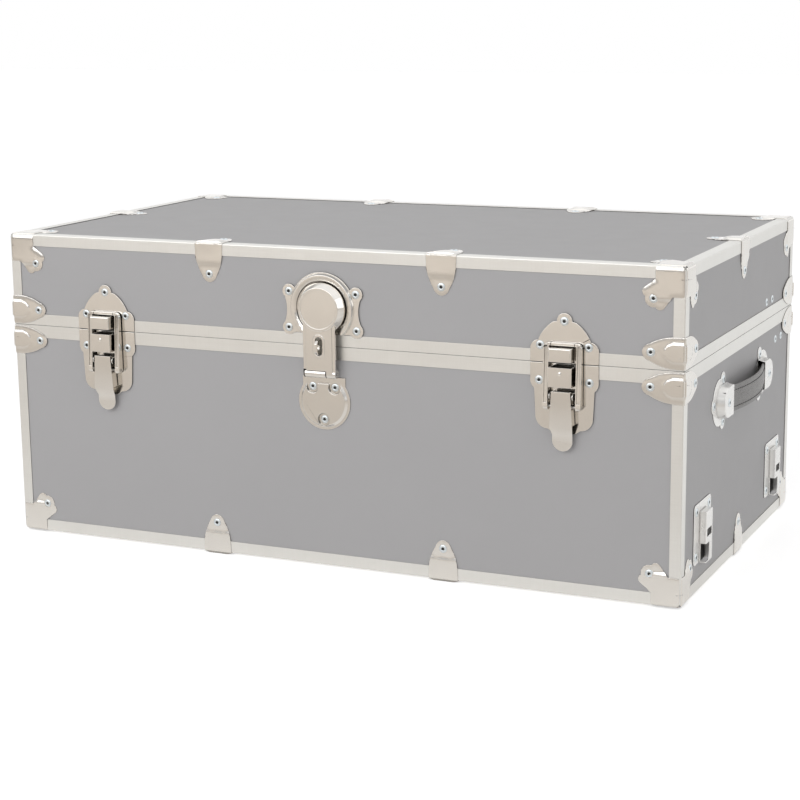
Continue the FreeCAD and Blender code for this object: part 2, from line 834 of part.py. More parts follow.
def latch_bail():
    """Bail: two grooved arms on their pin, and a bar above the keeper that is open over its width."""
    foot = bail_eye_radius
    chamfer = bail_chamfer
    bar_start = keeper_half_width + bail_prong_gap
    bend = bail_corner * (1 - math.sqrt(0.5))
    outline = outward(even_face((0, bail_top), [
        (bail_outer - bail_corner, bail_top),
        ((bail_outer - bend, bail_top - bend), (bail_outer, bail_top - bail_corner)),
        (bail_outer, -bail_pivot_drop - foot + bail_corner),
        ((bail_outer - bend, -bail_pivot_drop - foot + bend),
         (bail_outer - bail_corner, -bail_pivot_drop - foot)),
        (0, -bail_pivot_drop - foot),
    ]), 0, 2 * bail_front)
    pieces = []
    for inner, outer in ((bail_inner, bail_outer), (-bail_outer, -bail_inner)):
        arm = across([(bail_pivot_out + foot, -bail_pivot_drop), (bail_front, bail_top - chamfer),
                      (bail_front - chamfer, bail_top), (bail_back, bail_top),
                      (bail_pivot_out - foot, -bail_pivot_drop)], inner, outer)
        arm = arm.fuse(rod(foot, inner, outer, bail_pivot_out, -bail_pivot_drop))
        top_out = bail_front - bail_groove_depth
        groove = across([(bail_pivot_out + foot - bail_groove_depth, -bail_pivot_drop + foot),
                         (top_out, bail_top - bail_bar_height), (2 * bail_front, bail_top - bail_bar_height),
                         (2 * bail_front, -bail_pivot_drop + foot)], inner + bail_lip, outer - bail_lip)
        pieces.append(arm.cut(groove))
    prong = box(bar_start, bail_inner + bail_lip, -bail_front, -bail_back,
                bail_top - bail_bar_height, bail_top)
    pieces += [prong, mirror_x(prong)]
    bail = joined(pieces).common(outline)
    return bail.cut(rod(latch_pin_radius + seat_clearance, -2 * bail_outer, 2 * bail_outer,
                        bail_pivot_out, -bail_pivot_drop))


def lock_plate(rails):
    """Lock plate on the lid: a round top, four lobes and a beaded ring open below."""
    t = hardware_sheet
    r = lock_round_radius
    slant = r * math.sqrt(0.5)
    lobe = lock_lobe_radius
    upper_x, upper_z = lock_upper_rivet
    lower_x, lower_z = lock_lower_rivet
    low = lock_low_corner[1]
    face = even_face((0, lock_ring_rise + r), [
        ((slant, lock_ring_rise + slant), lock_ear_start),
        (upper_x, upper_z + lobe),
        (upper_x + lobe, upper_z),
        (lock_waist, (lower_x + lobe, lower_z)),
        (lower_x, lower_z - lobe),
        lock_low_corner,
        (0, low),
    ])
    plate = outward(face, -edging_sheet, t)
    for x, z in ((upper_x, upper_z), (lower_x, lower_z)):
        for side in (-1, 1):
            plate = plate.fuse(disc(side * x, z, lobe, -edging_sheet, t))
    for rail in rail_on_front(rails):
        plate = plate.cut(rail)
    section = [(lock_ring_inner, 0), (lock_ring_outer, 0), (lock_ring_outer, t),
               (lock_ring_crest + lock_ring_crest_half, lock_ring_front),
               (lock_ring_crest - lock_ring_crest_half, lock_ring_front),
               (lock_ring_inner, lock_ring_inner_front)]
    points = [V(radius, -out, lock_ring_rise) for radius, out in section]
    profile = Part.Face(Part.makePolygon(points + points[:1]))
    ring = profile.revolve(V(0, 0, lock_ring_rise), V(0, 1, 0), 360)
    reach = 2 * lock_ring_front
    mouth = box(-lock_mouth_half, lock_mouth_half, -reach, 0, -lock_ring_outer, lock_ring_rise)
    below = box(-lock_ring_outer, lock_ring_outer, -reach, 0, -lock_ring_outer, low)
    return joined([plate, ring.cut(mouth).cut(below)])


def lock_rivets():
    """Four rivets of the lock plate."""
    places = (lock_upper_rivet, lock_lower_rivet)
    return Part.makeCompound([rivet(s * x, z) for s in (-1, 1) for x, z in places])


def hasp_base_plate():
    """Round plate under the hasp, with a low dome, sunk rivet seats and the middle knuckle."""
    low = -edging_sheet
    seat = hardware_sheet - edging_sheet
    r = hasp_plate_radius
    plate = disc(0, -hasp_plate_drop, r, low, seat)
    shoulder_rise = math.sqrt(r * r - hasp_plate_half * hasp_plate_half)
    shoulder = box(-hasp_plate_half, hasp_plate_half, -seat, edging_sheet,
                   shoulder_rise - hasp_plate_drop, -hasp_plate_top_drop)
    dome = Part.makeCone(r - hasp_dome_margin, r - hasp_dome_margin - hasp_dome_height, hasp_dome_height,
                         V(0, -seat, -hasp_plate_drop), V(0, -1, 0))
    dome = dome.cut(box(-r, r, -hasp_barrel_radius, 0, -hasp_rivet_drop + hasp_boss_radius / 2, 0))
    for x, drop in hasp_rivet_places():
        dome = dome.cut(disc(x, -drop, hasp_boss_radius, 0, hasp_barrel_radius))
    left = -hasp_knuckle_left
    right = hasp_knuckle_right
    web = box(left, right, hasp_web_end - hasp_axis_out, edging_sheet, -hasp_plate_top_drop,
              -hasp_axis_drop)
    knuckle = rod(hasp_barrel_radius, left, right, hasp_axis_out, -hasp_axis_drop)
    whole = joined([plate, shoulder, dome, web, knuckle])
    return whole.cut(rod(hasp_pin_radius + seat_clearance, left - overrun, right + overrun,
                         hasp_axis_out, -hasp_axis_drop))


def hasp_rivet_places():
    """Places of the round plate's three rivets."""
    return ((-hasp_rivet_x, hasp_rivet_drop), (hasp_rivet_x, hasp_rivet_drop), (0, hasp_low_rivet_drop))


def hasp_rivets():
    """Three rivets of the round plate."""
    seat = hardware_sheet - edging_sheet
    return Part.makeCompound([rivet(x, -drop, seat) for x, drop in hasp_rivet_places()])


def slot_face(margin):
    """Round-ended slot of the hasp, wider all round by a margin."""
    half = hasp_slot_half + margin
    slant = half * math.sqrt(0.5)
    low = hasp_slot_low - hasp_axis_drop + hasp_slot_half
    high = hasp_slot_high - hasp_axis_drop - hasp_slot_half
    return even_face((0, high + half), [
        ((slant, high + slant), (half, high)),
        (half, low),
        ((slant, low - slant), (0, low - half)),
    ])


def hasp():
    """Hinged hasp: two end knuckles, a slotted strap with a lip and a fold along each side, a hollow head."""
    s = hasp_sheet
    half = hasp_half_width
    out = hasp_strap_front
    head_z = lock_ring_rise
    back = hasp_head_back
    toward = V(0, -1, 0)
    head = Part.makeCone(hasp_head_base, hasp_head_radius, hasp_head_front - back,
                         V(0, -back, head_z), toward)
    hollow = Part.makeCone(hasp_head_base - s, hasp_head_radius - s, hasp_head_front - s - back,
                           V(0, -back, head_z), toward)
    head = head.cut(hollow)
    head = head.cut(disc(0, head_z, hasp_head_radius - hasp_head_rim, hasp_head_front - hasp_head_recess,
                         hasp_head_front + overrun))
    lip_out = out - hasp_lip_step
    middle = half - hasp_lip_width
    strap = joined([box(-half, half, -lip_out, s - lip_out, -hasp_axis_drop, head_z),
                    box(-middle, middle, -out, s - lip_out, -hasp_axis_drop, head_z)])
    strap = strap.cut(disc(0, head_z, hasp_head_radius - s, 0, hasp_head_front))
    under = disc(0, head_z, hasp_head_base, 0, back)
    sides = [box(x, x + s, -lip_out, -hasp_wall_back, -hasp_axis_drop, head_z).cut(hollow).cut(under)
             for x in (-half, half - s)]
    sides = [side.cut(disc(0, head_z, hasp_head_radius - s, back, out)) for side in sides]
    gap = hasp_knuckle_gap
    spans = ((-half, -hasp_knuckle_left - gap), (hasp_knuckle_right + gap, half))
    knuckles = [rod(hasp_barrel_radius, x0, x1, hasp_axis_out, -hasp_axis_drop) for x0, x1 in spans]
    rim = outward(slot_face(hasp_slot_rim), out - s, out + hasp_slot_rim_height)
    whole = joined([strap, head, rim] + sides + knuckles)
    relief = rod(hasp_barrel_radius + gap, -hasp_knuckle_left - gap, hasp_knuckle_right + gap,
                 hasp_axis_out, -hasp_axis_drop)
    bore = rod(hasp_pin_radius + running_clearance, -half - overrun, half + overrun,
               hasp_axis_out, -hasp_axis_drop)
    return whole.cut(relief).cut(outward(slot_face(0), 0, 2 * out)).cut(bore)


def hasp_pin():
    """Pin through the hasp's knuckles."""
    return rod(hasp_pin_radius, -hasp_half_width, hasp_half_width, hasp_axis_out, -hasp_axis_drop)


def padlock_staple():
    """Flat eye on the base's rail that stands through the hasp's slot."""
    half = staple_thickness / 2
    top = staple_centre_rise + staple_half_height
    low = staple_centre_rise - staple_half_height
    front = staple_hole_out + staple_wall
    back = hardware_sheet + staple_clearance
    corner = staple_corner
    eye = across([(0, -staple_foot_drop), (front - corner, low), (front, low + corner), (front, top - corner),
                  (front - corner, top), (back, top), (back, -plate_seam_gap), (0, -plate_seam_gap)],
                 -half, half)
    return eye.cut(rod(staple_hole_radius, -2 * half, 2 * half, staple_hole_out, staple_centre_rise))


def hinge_leaf(on_lid):
    """One leaf of a back hinge: joggled from the rail to the panel, with its own knuckles."""
    up = 1 if on_lid else -1
    rail = lid_rail_height if on_lid else base_rail_height
    s = hinge_leaf_sheet
    e = edging_sheet
    half = hinge_width / 2
    low = seam_gap / 2 * up
    leaf = across([(0, low), (s, low), (s, up * (rail + e)), (s - e, up * (rail + 2 * e)),
                   (s - e, up * hinge_leaf_height), (-e, up * hinge_leaf_height), (-e, up * rail),
                   (0, up * rail)], -half, half)
    axis_out = hinge_stand_off + hinge_barrel_radius
    step = hinge_width / hinge_knuckles
    clear = hinge_barrel_radius + knuckle_gap
    pieces = []
    for index in range(hinge_knuckles):
        x0 = index * step - half
        if (index % 2 == 1) == on_lid:
            x1 = x0 + step
            pieces.append(rod(hinge_barrel_radius, x0 + knuckle_gap / 2, x1 - knuckle_gap / 2, axis_out, 0))
        else:
            leaf = leaf.cut(box(x0 - knuckle_gap / 2, x0 + step + knuckle_gap / 2, -2 * s, s,
                                min(0, up * clear), max(0, up * clear)))
    clearance = running_clearance if on_lid else seat_clearance
    bore = rod(hinge_pin_radius + clearance, -hinge_width, hinge_width, axis_out, 0)
    return joined([leaf] + pieces).cut(bore)


def hinge_pin():
    """Hinge pin the full width of the barrel."""
    return rod(hinge_pin_radius, -hinge_width / 2, hinge_width / 2, hinge_stand_off + hinge_barrel_radius, 0)


def hinge_rivets(on_lid):
    """Three rivets of one leaf."""
    z = hinge_rivet_drop if on_lid else -hinge_rivet_drop
    seat = hinge_leaf_sheet - edging_sheet
    return Part.makeCompound([rivet(n * hinge_rivet_spacing, z, seat) for n in (-1, 0, 1)])


def dome_wire(half, mouth, out):
    """Outline of the handle cap's dome at one height: square at the mouth, round at the far end."""
    z = handle_height
    a = V(mouth, -out, z - half)
    b = V(dome_centre, -out, z - half)
    c = V(dome_centre + half, -out, z)
    d = V(dome_centre, -out, z + half)
    f = V(mouth, -out, z + half)
    return Part.Wire([Part.LineSegment(a, b).toShape(), Part.Arc(b, c, d).toShape(),
                      Part.LineSegment(d, f).toShape(), Part.LineSegment(f, a).toShape()])


def handle_cap():
    """Cap at the back end of a handle: an eared plate and a tapered dome open at its mouth."""
    seat = hardware_sheet - edging_sheet
    s = dome_sheet
    dome = Part.makeLoft([dome_wire(dome_half_base, dome_mouth, seat),
                          dome_wire(dome_half_top, dome_mouth, dome_out)], True, True)
    hollow = Part.makeLoft([dome_wire(dome_half_base - s, dome_mouth - overrun, seat),
                            dome_wire(dome_half_top - s, dome_mouth - overrun, dome_out - s)], True, True)
    plate = disc(dome_centre + handle_ear_radius / 2, handle_height, handle_plate_radius, -edging_sheet, seat)
    plate = plate.cut(box(0, dome_mouth, -dome_out, dome_out, 0, 2 * handle_height))
    for x, rise in ((handle_side_rivet_y, handle_side_rivet_z), (handle_side_rivet_y, -handle_side_rivet_z),
                    (handle_end_rivet, 0)):
        plate = plate.fuse(disc(x, handle_height + rise, handle_ear_radius, -edging_sheet, seat))
    return joined([plate, dome.cut(hollow)])


def handle_cap_rivets():
    """Three rivets through a cap's ears and one through its dome."""
    seat = hardware_sheet - edging_sheet
    return Part.makeCompound([
        rivet(handle_side_rivet_y, handle_height + handle_side_rivet_z, seat),
        rivet(handle_side_rivet_y, handle_height - handle_side_rivet_z, seat),
        rivet(handle_end_rivet, handle_height, seat),
        rivet(dome_centre, handle_height, dome_out),
    ])


def handle_strap():
    """Leather strap, straight inside its caps and bowed out between them."""
    low = dome_out - dome_sheet - strap_gap - strap_thickness
    high = low + strap_thickness
    z = handle_height - strap_half_width

    def at(x, out):
        return V(x, -out, z)

    edges = [Part.Arc(at(-strap_mouth, low), at(0, low + strap_bow), at(strap_mouth, low)).toShape(),
             Part.Arc(at(-strap_mouth, high), at(0, high + strap_bow), at(strap_mouth, high)).toShape()]
    for side in (-1, 1):
        ends = [at(side * strap_mouth, low), at(side * strap_end, low), at(side * strap_end, high),
                at(side * strap_mouth, high)]
        edges += [Part.LineSegment(a, b).toShape() for a, b in zip(ends, ends[1:])]
    return face_from(edges).extrude(V(0, 0, 2 * strap_half_width))


def wheel_plate():
    """Bracket plate: a rounded flange with a hollow box open below, a side mouth and a window."""
    seat = hardware_sheet - edging_sheet
    half = wheel_plate_width / 2
    low = wheel_plate_low
    s = wheel_box_sheet
    wide = wheel_box_half
    out = wheel_box_out
    flange = box(-half, half, -seat, edging_sheet, low, low + wheel_plate_height)
    corners = [edge for edge in flange.Edges if abs(edge.Vertexes[0].Y - edge.Vertexes[-1].Y) > seat]
    flange = flange.makeFillet(wheel_plate_corner, corners)
    shell = box(-wide, wide, -out, 0, low, low + wheel_box_height)
    rounded = [edge for edge in shell.Edges if edge.CenterOfMass.y < -out / 2
               and edge.CenterOfMass.z > low + s]
    shell = shell.makeFillet(s, rounded)
    shell = shell.cut(box(s - wide, wide - s, s - out, -seat, low - overrun, low + wheel_box_height - s))
    mouth = face_of([(-wide - overrun, low + s), (-s, low + s), (s, low + s + wheel_mouth_height / 3),
                     (s, low + wheel_mouth_height - s), (-s, low + wheel_mouth_height),
                     (-wide - overrun, low + wheel_mouth_height)])
    window = box(wheel_window_inset - wide, wide - wheel_window_inset, -out - overrun, -out / 2,
                 low + wheel_window_low, low + wheel_window_low + wheel_window_height)
    shell = shell.cut(outward(mouth, seat + s, out + overrun)).cut(window)
    return joined([flange, shell])


def wheel_plate_rivets():
    """Four rivets in the flange's corners."""
    seat = hardware_sheet - edging_sheet
    x = wheel_plate_width / 2 - wheel_rivet_inset
    low = wheel_plate_low + wheel_rivet_inset
    high = wheel_plate_low + wheel_plate_height - wheel_rivet_inset
    return Part.makeCompound([rivet(s * x, z, seat) for s in (-1, 1) for z in (low, high)])


def stay_points():
    """Pivots of the lid stay as (y, z): on the lid, on the base, the elbow, and each arm's length."""
    lid_pivot = (stay_lid_y, seam_height + stay_lid_rise)
    base_pivot = (stay_base_y, seam_height - stay_base_drop)
    turn = math.radians(lid_open_angle)
    dy = lid_pivot[0] - hinge_axis_y
    dz = lid_pivot[1] - seam_height
    open_y = hinge_axis_y + dy * math.cos(turn) + dz * math.sin(turn)
    open_z = seam_height - dy * math.sin(turn) + dz * math.cos(turn)
    arm = math.hypot(open_y - base_pivot[0], open_z - base_pivot[1]) / 2
    gap = math.hypot(lid_pivot[0] - base_pivot[0], lid_pivot[1] - base_pivot[1])
    along = ((base_pivot[0] - lid_pivot[0]) / gap, (base_pivot[1] - lid_pivot[1]) / gap)
    drop = math.sqrt(arm * arm - gap * gap / 4)
    elbow = (lid_pivot[0] + along[0] * gap / 2 + along[1] * drop,
             lid_pivot[1] + along[1] * gap / 2 - along[0] * drop)
    return lid_pivot, base_pivot, elbow, arm


def stay_cylinder(place, radius, x0, x1):
    """Round piece across the chest at a (y, z) place."""
    return Part.makeCylinder(radius, x1 - x0, V(x0, place[0], place[1]), V(1, 0, 0))


def stay_arm(start, end, x0):
    """Flat bar with round ends and a hole at each pivot."""
    x1 = x0 + stay_bar_sheet
    length = math.hypot(end[0] - start[0], end[1] - start[1])
    bar = box(x0, x1, 0, length, -stay_bar_half, stay_bar_half)
    bar.rotate(ORIGIN, V(1, 0, 0), math.degrees(math.atan2(end[1] - start[1], end[0] - start[0])))
    bar = moved(bar, y=start[0], z=start[1])
    ends = [stay_cylinder(place, stay_bar_half, x0, x1) for place in (start, end)]
    return joined([bar] + ends)


def stay_bracket(place, arm_x0):
    """Plate on the inside of the end with a shouldered stud for one arm."""
    wall = half_width - edging_sheet - panel_thickness
    plate_x = wall - stay_plate_sheet
    arm_x1 = arm_x0 + stay_bar_sheet
    plate = box(plate_x, wall, place[0] - stay_plate_half, place[0] + stay_plate_half,
                place[1] - stay_plate_half_height, place[1] + stay_plate_half_height)
    stud = stay_cylinder(place, stay_pin_radius, arm_x0 - stay_side_gap, plate_x)
    shoulder = stay_cylinder(place, stay_pin_head, arm_x1 + stay_side_gap / 2, plate_x)
    head = stay_cylinder(place, stay_pin_head, arm_x0 - stay_side_gap / 2 - stay_pin_head_height,
                         arm_x0 - stay_side_gap / 2)
    return joined([plate, shoulder, stud, head])


def stay_outer_rivets(place):
    """The bracket's two rivet heads on the outside of the end."""
    return [rivet(place[0] + s * stay_rivet_spacing / 2, place[1], -edging_sheet) for s in (-1, 1)]


def save_stay():
    """Brackets and arms of the lid stay."""
    lid_pivot, base_pivot, elbow, arm = stay_points()
    wall = half_width - edging_sheet - panel_thickness
    lower_x = wall - stay_plate_sheet - stay_side_gap - stay_bar_sheet
    upper_x = lower_x - stay_side_gap - stay_bar_sheet
    hole = stay_pin_radius + running_clearance
    reach = (upper_x - overrun, wall)
    upper = stay_arm(lid_pivot, elbow, upper_x).cut(stay_cylinder(lid_pivot, hole, *reach))
    rivet_head = stay_cylinder(elbow, stay_pin_head, upper_x - stay_pin_head_height, upper_x)
    lower = stay_arm(base_pivot, elbow, lower_x)
    lower = lower.cut(stay_cylinder(base_pivot, hole, *reach)).cut(stay_cylinder(elbow, hole, *reach))
    save("stay_upper_arm", joined([upper, rivet_head]))
    save("stay_lower_arm", lower)
    save("stay_lid_bracket", stay_bracket(lid_pivot, upper_x))
    save("stay_base_bracket", stay_bracket(base_pivot, lower_x))


def save_frame():
    """Edging, uprights and rails of both halves; returns what the hardware is cut to."""
    bottom = mitred_ring(edging_profile())
    base_uprights = upright_lengths(edging_width, seam_height - base_rail_height)
    base_rails = mitred_ring(base_rail_profile())
    lid_uprights = upright_lengths(seam_height + lid_rail_height, chest_height - edging_width)
    lid_rails = mitred_ring(lid_rail_profile())
    save("base_bottom_edging", group(bottom))
    save("base_upright_edging", group(base_uprights))
    save("base_grooved_rail", group(base_rails))
    save("lid_top_edging", group([moved(mirror_z(length), z=chest_height) for length in bottom]))
    save("lid_upright_edging", group(lid_uprights))
    save("lid_tongued_rail", group(lid_rails))
    base_near = [base_rails[0], base_rails[2], base_uprights[0]]
    lid_near = [lid_rails[0], lid_rails[2], lid_uprights[0]]
    return base_near, lid_near


def save_corners(base_near, lid_near):
    """Corner caps, edge clamps and seam clamps; returns their rivets on the base and the lid."""
    cap = corner_cap()
    cap_heads = Part.makeCompound(turned_three_ways(
        rivet(-cap_rivet_inset, -cap_rivet_inset, hardware_sheet - edging_sheet)))
    clamp = edge_clamp()
    clamp_heads = edge_clamp_rivets()
    base_clamp = below_seam(seam_clamp([below_seam(piece) for piece in base_near]))
    lid_clamp = seam_clamp(lid_near)
    lid_heads = seam_clamp_rivets()
    save("base_corner_caps", group(at_corners(cap, False)))
    save("lid_corner_caps", group(at_corners(cap, True)))
    save("base_edge_clamps", group(clamp_places(clamp, False)))
    save("lid_edge_clamps", group(clamp_places(clamp, True)))
    save("base_seam_clamps", group(four_uprights(base_clamp)))
    save("lid_seam_clamps", group(four_uprights(lid_clamp)))
    base_heads = at_corners(cap_heads, False) + clamp_places(clamp_heads, False)
    base_heads += four_uprights(below_seam(lid_heads))
    top_heads = at_corners(cap_heads, True) + clamp_places(clamp_heads, True) + four_uprights(lid_heads)
    return base_heads, top_heads


def save_latches(base_rails, lid_rails):
    """Both draw-bolt latches."""
    keeper = keeper_plate(lid_rails)
    plate = latch_base_plate(base_rails)
    for side, x in (("left", -latch_spacing / 2), ("right", latch_spacing / 2)):
        save("latch_keeper_" + side, on_front(keeper, x))
        save("latch_plate_" + side, on_front(plate, x))
        save("latch_lever_" + side, on_front(latch_lever(), x))
        save("latch_bail_" + side, on_front(latch_bail(), x))
        save("latch_lever_pin_" + side, on_front(lever_pin(), x))
        save("latch_bail_pin_" + side, on_front(bail_pin(), x))


def save_lock(lid_rails):
    """Lock plate, hasp, its round base plate, pin and staple."""
    save("lock_plate", on_front(lock_plate(lid_rails)))
    save("hasp", on_front(hasp()))
    save("hasp_base_plate", on_front(hasp_base_plate()))
    save("hasp_pin", on_front(hasp_pin()))
    save("padlock_staple", on_front(padlock_staple()))


def save_hinges():
    """Two hinges on the back."""
    places = (-hinge_spacing / 2, hinge_spacing / 2)
    save("hinge_base_leaves", group([on_back(hinge_leaf(False), x) for x in places]))
    save("hinge_lid_leaves", group([on_back(hinge_leaf(True), x) for x in places]))
    save("hinge_pins", group([on_back(hinge_pin(), x) for x in places]))


def save_handles():
    """Leather handle with two caps on each end; returns their rivets."""
    cap = handle_cap()
    caps = [cap, mirror_x(cap)]
    heads = handle_cap_rivets()
    rivets = []
    for name, side in (("left", -1), ("right", 1)):
        save("handle_caps_" + name, group([on_end(piece, side) for piece in caps]))
        save("handle_strap_" + name, on_end(handle_strap(), side))
        rivets += [on_end(heads, side), on_end(mirror_x(heads), side)]
    return rivets


def save_wheel_plates():
    """Two wheel bracket plates on the right end; returns their rivets."""
    plate = wheel_plate()
    heads = wheel_plate_rivets()
    places = (-wheel_plate_y, wheel_plate_y)
    save("wheel_plates", group([on_end(moved(plate, x=x), 1) for x in places]))
    return [on_end(moved(heads, x=x), 1) for x in places]


def save_rivets(base_heads, lid_heads):
    """All rivet heads, one node for the base and one for the lid."""
    lid_pivot, base_pivot, elbow, arm = stay_points()
    for x in (-latch_spacing / 2, latch_spacing / 2):
        base_heads.append(on_front(latch_base_rivets(), x))
        lid_heads.append(on_front(keeper_rivets(), x))
    for x in (-hinge_spacing / 2, hinge_spacing / 2):
        base_heads.append(on_back(hinge_rivets(False), x))
        lid_heads.append(on_back(hinge_rivets(True), x))
    base_heads.append(on_front(hasp_rivets()))
    lid_heads.append(on_front(lock_rivets()))
    base_heads += [on_end(head, 1) for head in stay_outer_rivets(base_pivot)]
    lid_heads += [on_end(head, 1) for head in stay_outer_rivets(lid_pivot)]
    save("base_rivets", group(base_heads))
    save("lid_rivets", group(lid_heads))


os.makedirs("parts", exist_ok=True)
core = core_box()
save_panels("base", "base_floor_panel", edging_sheet, edging_sheet + panel_thickness, base_panel_top)
save_panels("lid", "lid_top_panel", chest_height - edging_sheet - panel_thickness,
            lid_panel_bottom, chest_height - edging_sheet - panel_thickness)
base_near, lid_near = save_frame()
base_heads, lid_heads = save_corners(base_near, lid_near)
save_latches(base_near[:1], lid_near[:1])
save_lock(lid_near[:1])
save_hinges()
save_stay()
base_heads += save_handles()
base_heads += save_wheel_plates()
save_rivets(base_heads, lid_heads)
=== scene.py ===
"""Camp trunk dressed over its packed construction: grey skin on plywood, satin edging, nickel hardware
with pressed, softened edges, tubular rivets, and stitched leather handles. Metres, +Z up, front -Y.
"""

import json
import math

import bmesh
import bpy
import numpy as np
from mathutils import Matrix, Vector

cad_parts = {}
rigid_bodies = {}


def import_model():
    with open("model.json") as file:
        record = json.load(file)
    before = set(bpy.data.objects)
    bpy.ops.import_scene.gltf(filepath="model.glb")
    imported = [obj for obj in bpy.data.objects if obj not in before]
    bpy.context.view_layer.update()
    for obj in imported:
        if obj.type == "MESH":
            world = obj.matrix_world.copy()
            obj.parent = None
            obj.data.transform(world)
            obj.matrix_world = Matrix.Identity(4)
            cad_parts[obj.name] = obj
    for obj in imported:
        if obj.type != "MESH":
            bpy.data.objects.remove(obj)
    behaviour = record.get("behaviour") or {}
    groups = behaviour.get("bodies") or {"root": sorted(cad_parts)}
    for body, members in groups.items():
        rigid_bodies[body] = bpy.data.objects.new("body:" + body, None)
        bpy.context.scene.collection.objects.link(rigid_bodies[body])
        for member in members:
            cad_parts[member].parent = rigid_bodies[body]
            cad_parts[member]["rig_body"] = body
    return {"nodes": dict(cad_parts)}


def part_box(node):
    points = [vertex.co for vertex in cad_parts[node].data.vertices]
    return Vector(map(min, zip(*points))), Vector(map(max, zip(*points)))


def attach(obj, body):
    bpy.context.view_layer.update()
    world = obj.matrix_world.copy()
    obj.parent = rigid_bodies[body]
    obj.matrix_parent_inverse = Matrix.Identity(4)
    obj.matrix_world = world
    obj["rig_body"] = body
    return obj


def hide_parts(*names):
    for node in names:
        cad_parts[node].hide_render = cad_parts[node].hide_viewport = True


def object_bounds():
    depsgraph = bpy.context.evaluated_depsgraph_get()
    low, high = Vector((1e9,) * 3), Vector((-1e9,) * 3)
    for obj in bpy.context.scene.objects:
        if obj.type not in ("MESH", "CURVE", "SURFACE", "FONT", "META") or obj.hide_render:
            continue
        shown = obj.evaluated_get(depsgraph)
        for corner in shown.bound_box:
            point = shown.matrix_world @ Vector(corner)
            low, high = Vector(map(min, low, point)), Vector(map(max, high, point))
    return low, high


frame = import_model()
cad_low, cad_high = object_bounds()
nodes = frame["nodes"]
mm = 0.001
white = (1.0, 1.0, 1.0, 1.0)

# Camera at the photograph's place, from the chest's own corners
view_azimuth = math.radians(24.646)
view_elevation = math.radians(12.023)
view_roll = math.radians(-0.680)
view_place = Vector((936.8, -2065.425, 629.9)) * mm
view_lens = 86.60
view_sensor = 36.0

# Handle straps and their stitches
strap_thickness = 4.4 * mm
strap_in_cap = 24.5 * mm
strap_grooves = 9.2 * mm
strap_groove_depth = 0.40 * mm
strap_groove_width = 0.8 * mm
strap_padding = 0.35 * mm
stitch_length = 3.3 * mm
stitch_pitch = 4.9 * mm
stitch_radius = 0.55 * mm
stitch_sunk = 0.62 * mm

# Rivet heads: outline as shares of the radius and of the rise, with painted shade from the given ring
# inwards
rivet_radius = 4.6 * mm
rivet_rise = 0.9 * mm
rivet_outline = ((1.0, 0.0), (1.0, 0.22), (0.955, 0.50), (0.86, 0.78), (0.70, 0.96), (0.55, 1.0),
                 (0.46, 0.93), (0.385, 0.74), (0.35, 0.45), (0.34, 0.12), (0.0, 0.10))
rivet_dark_from = 7
rivet_segments = 20

# How far in from the edge each kind of piece is rolled over, and an inner edge's share of that
edging_round = 0.25 * mm
trim_round = 0.4 * mm
cap_round = 0.7 * mm
latch_round = 0.5 * mm
lever_round = 0.35 * mm
stay_round = 0.2 * mm
inner_share = 0.3

# The edging's share along the chest's edges, and how much comes off its corners under the caps
edging_fold = 6.0
edging_corner = 2.7 * mm

# What counts as one point, as one flat face, and as a sharp edge; and what lies on the skin or off it
same_point = 0.002 * mm
same_flat = math.radians(0.6)
sharp_from = math.radians(32)
sharp_from_on_pillow = math.radians(50)
on_skin = 0.2 * mm
clear_of_skin = 0.5 * mm

# Pillowed sheets: how far the face sinks at its outline, from how far in that starts, how far steps are
# evened out, the radius of the folds, and the share kept of what stands above the face
pillows = {"corner_caps": (0.45 * mm, 5 * mm, 2.6 * mm, 5.5 * mm, 1.0),
           "edge_clamps": (0.45 * mm, 5 * mm, 5.5 * mm, 3.0 * mm, 0.15),
           "seam_clamps": (0.30 * mm, 5 * mm, 1.2 * mm, 3.0 * mm, 0.35)}
pillow_cell = 2.0 * mm
pillow_same_point = 0.05 * mm
pillow_faces_out = 0.6
pillow_off_skin = 0.6 * mm
points_at_once = 400

# Foot of the hasp's head: its section as radius and height over the ring, and the arc that it fills
hasp_head_radius = 28.6 * mm
skirt_section = np.array([(28.62, 5.4), (29.3, 2.4), (28.3, 2.4), (27.4, 5.4)]) * mm
skirt_height = 4.4 * mm
skirt_arc = (math.radians(-36), math.radians(184))
skirt_steps = 111

# Boxed sheets: their thickness, and their insides measured from the pieces' own boxes
sheet = 1.1 * mm
wheel_box_inset = 32 * mm
wheel_box_half = 10.4 * mm
wheel_box_depth = 8.0 * mm
wheel_box_height = 54.4 * mm
keeper_box_half = 11.55 * mm
keeper_box_depth = 15.2 * mm
keeper_box_foot = 0.5 * mm
keeper_box_top = 16.4 * mm
cap_wall = 1.25 * mm
cap_mouth_start = 68 * mm
cap_mouth_end = 100 * mm
cap_mouth_half = 12.8 * mm

# How far over a sheet another still casts painted shade on it
cover_reach = 9.0 * mm

# Chest planes, read from the frame
right_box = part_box("base_right_panel")
top_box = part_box("lid_top_panel")
floor_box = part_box("base_floor_panel")
skin_half_x = right_box[1].x
skin_half_y = (top_box[1].y - top_box[0].y) / 2
skin_middle_y = (top_box[1].y + top_box[0].y) / 2
skin_top = top_box[1].z
skin_bottom = floor_box[0].z


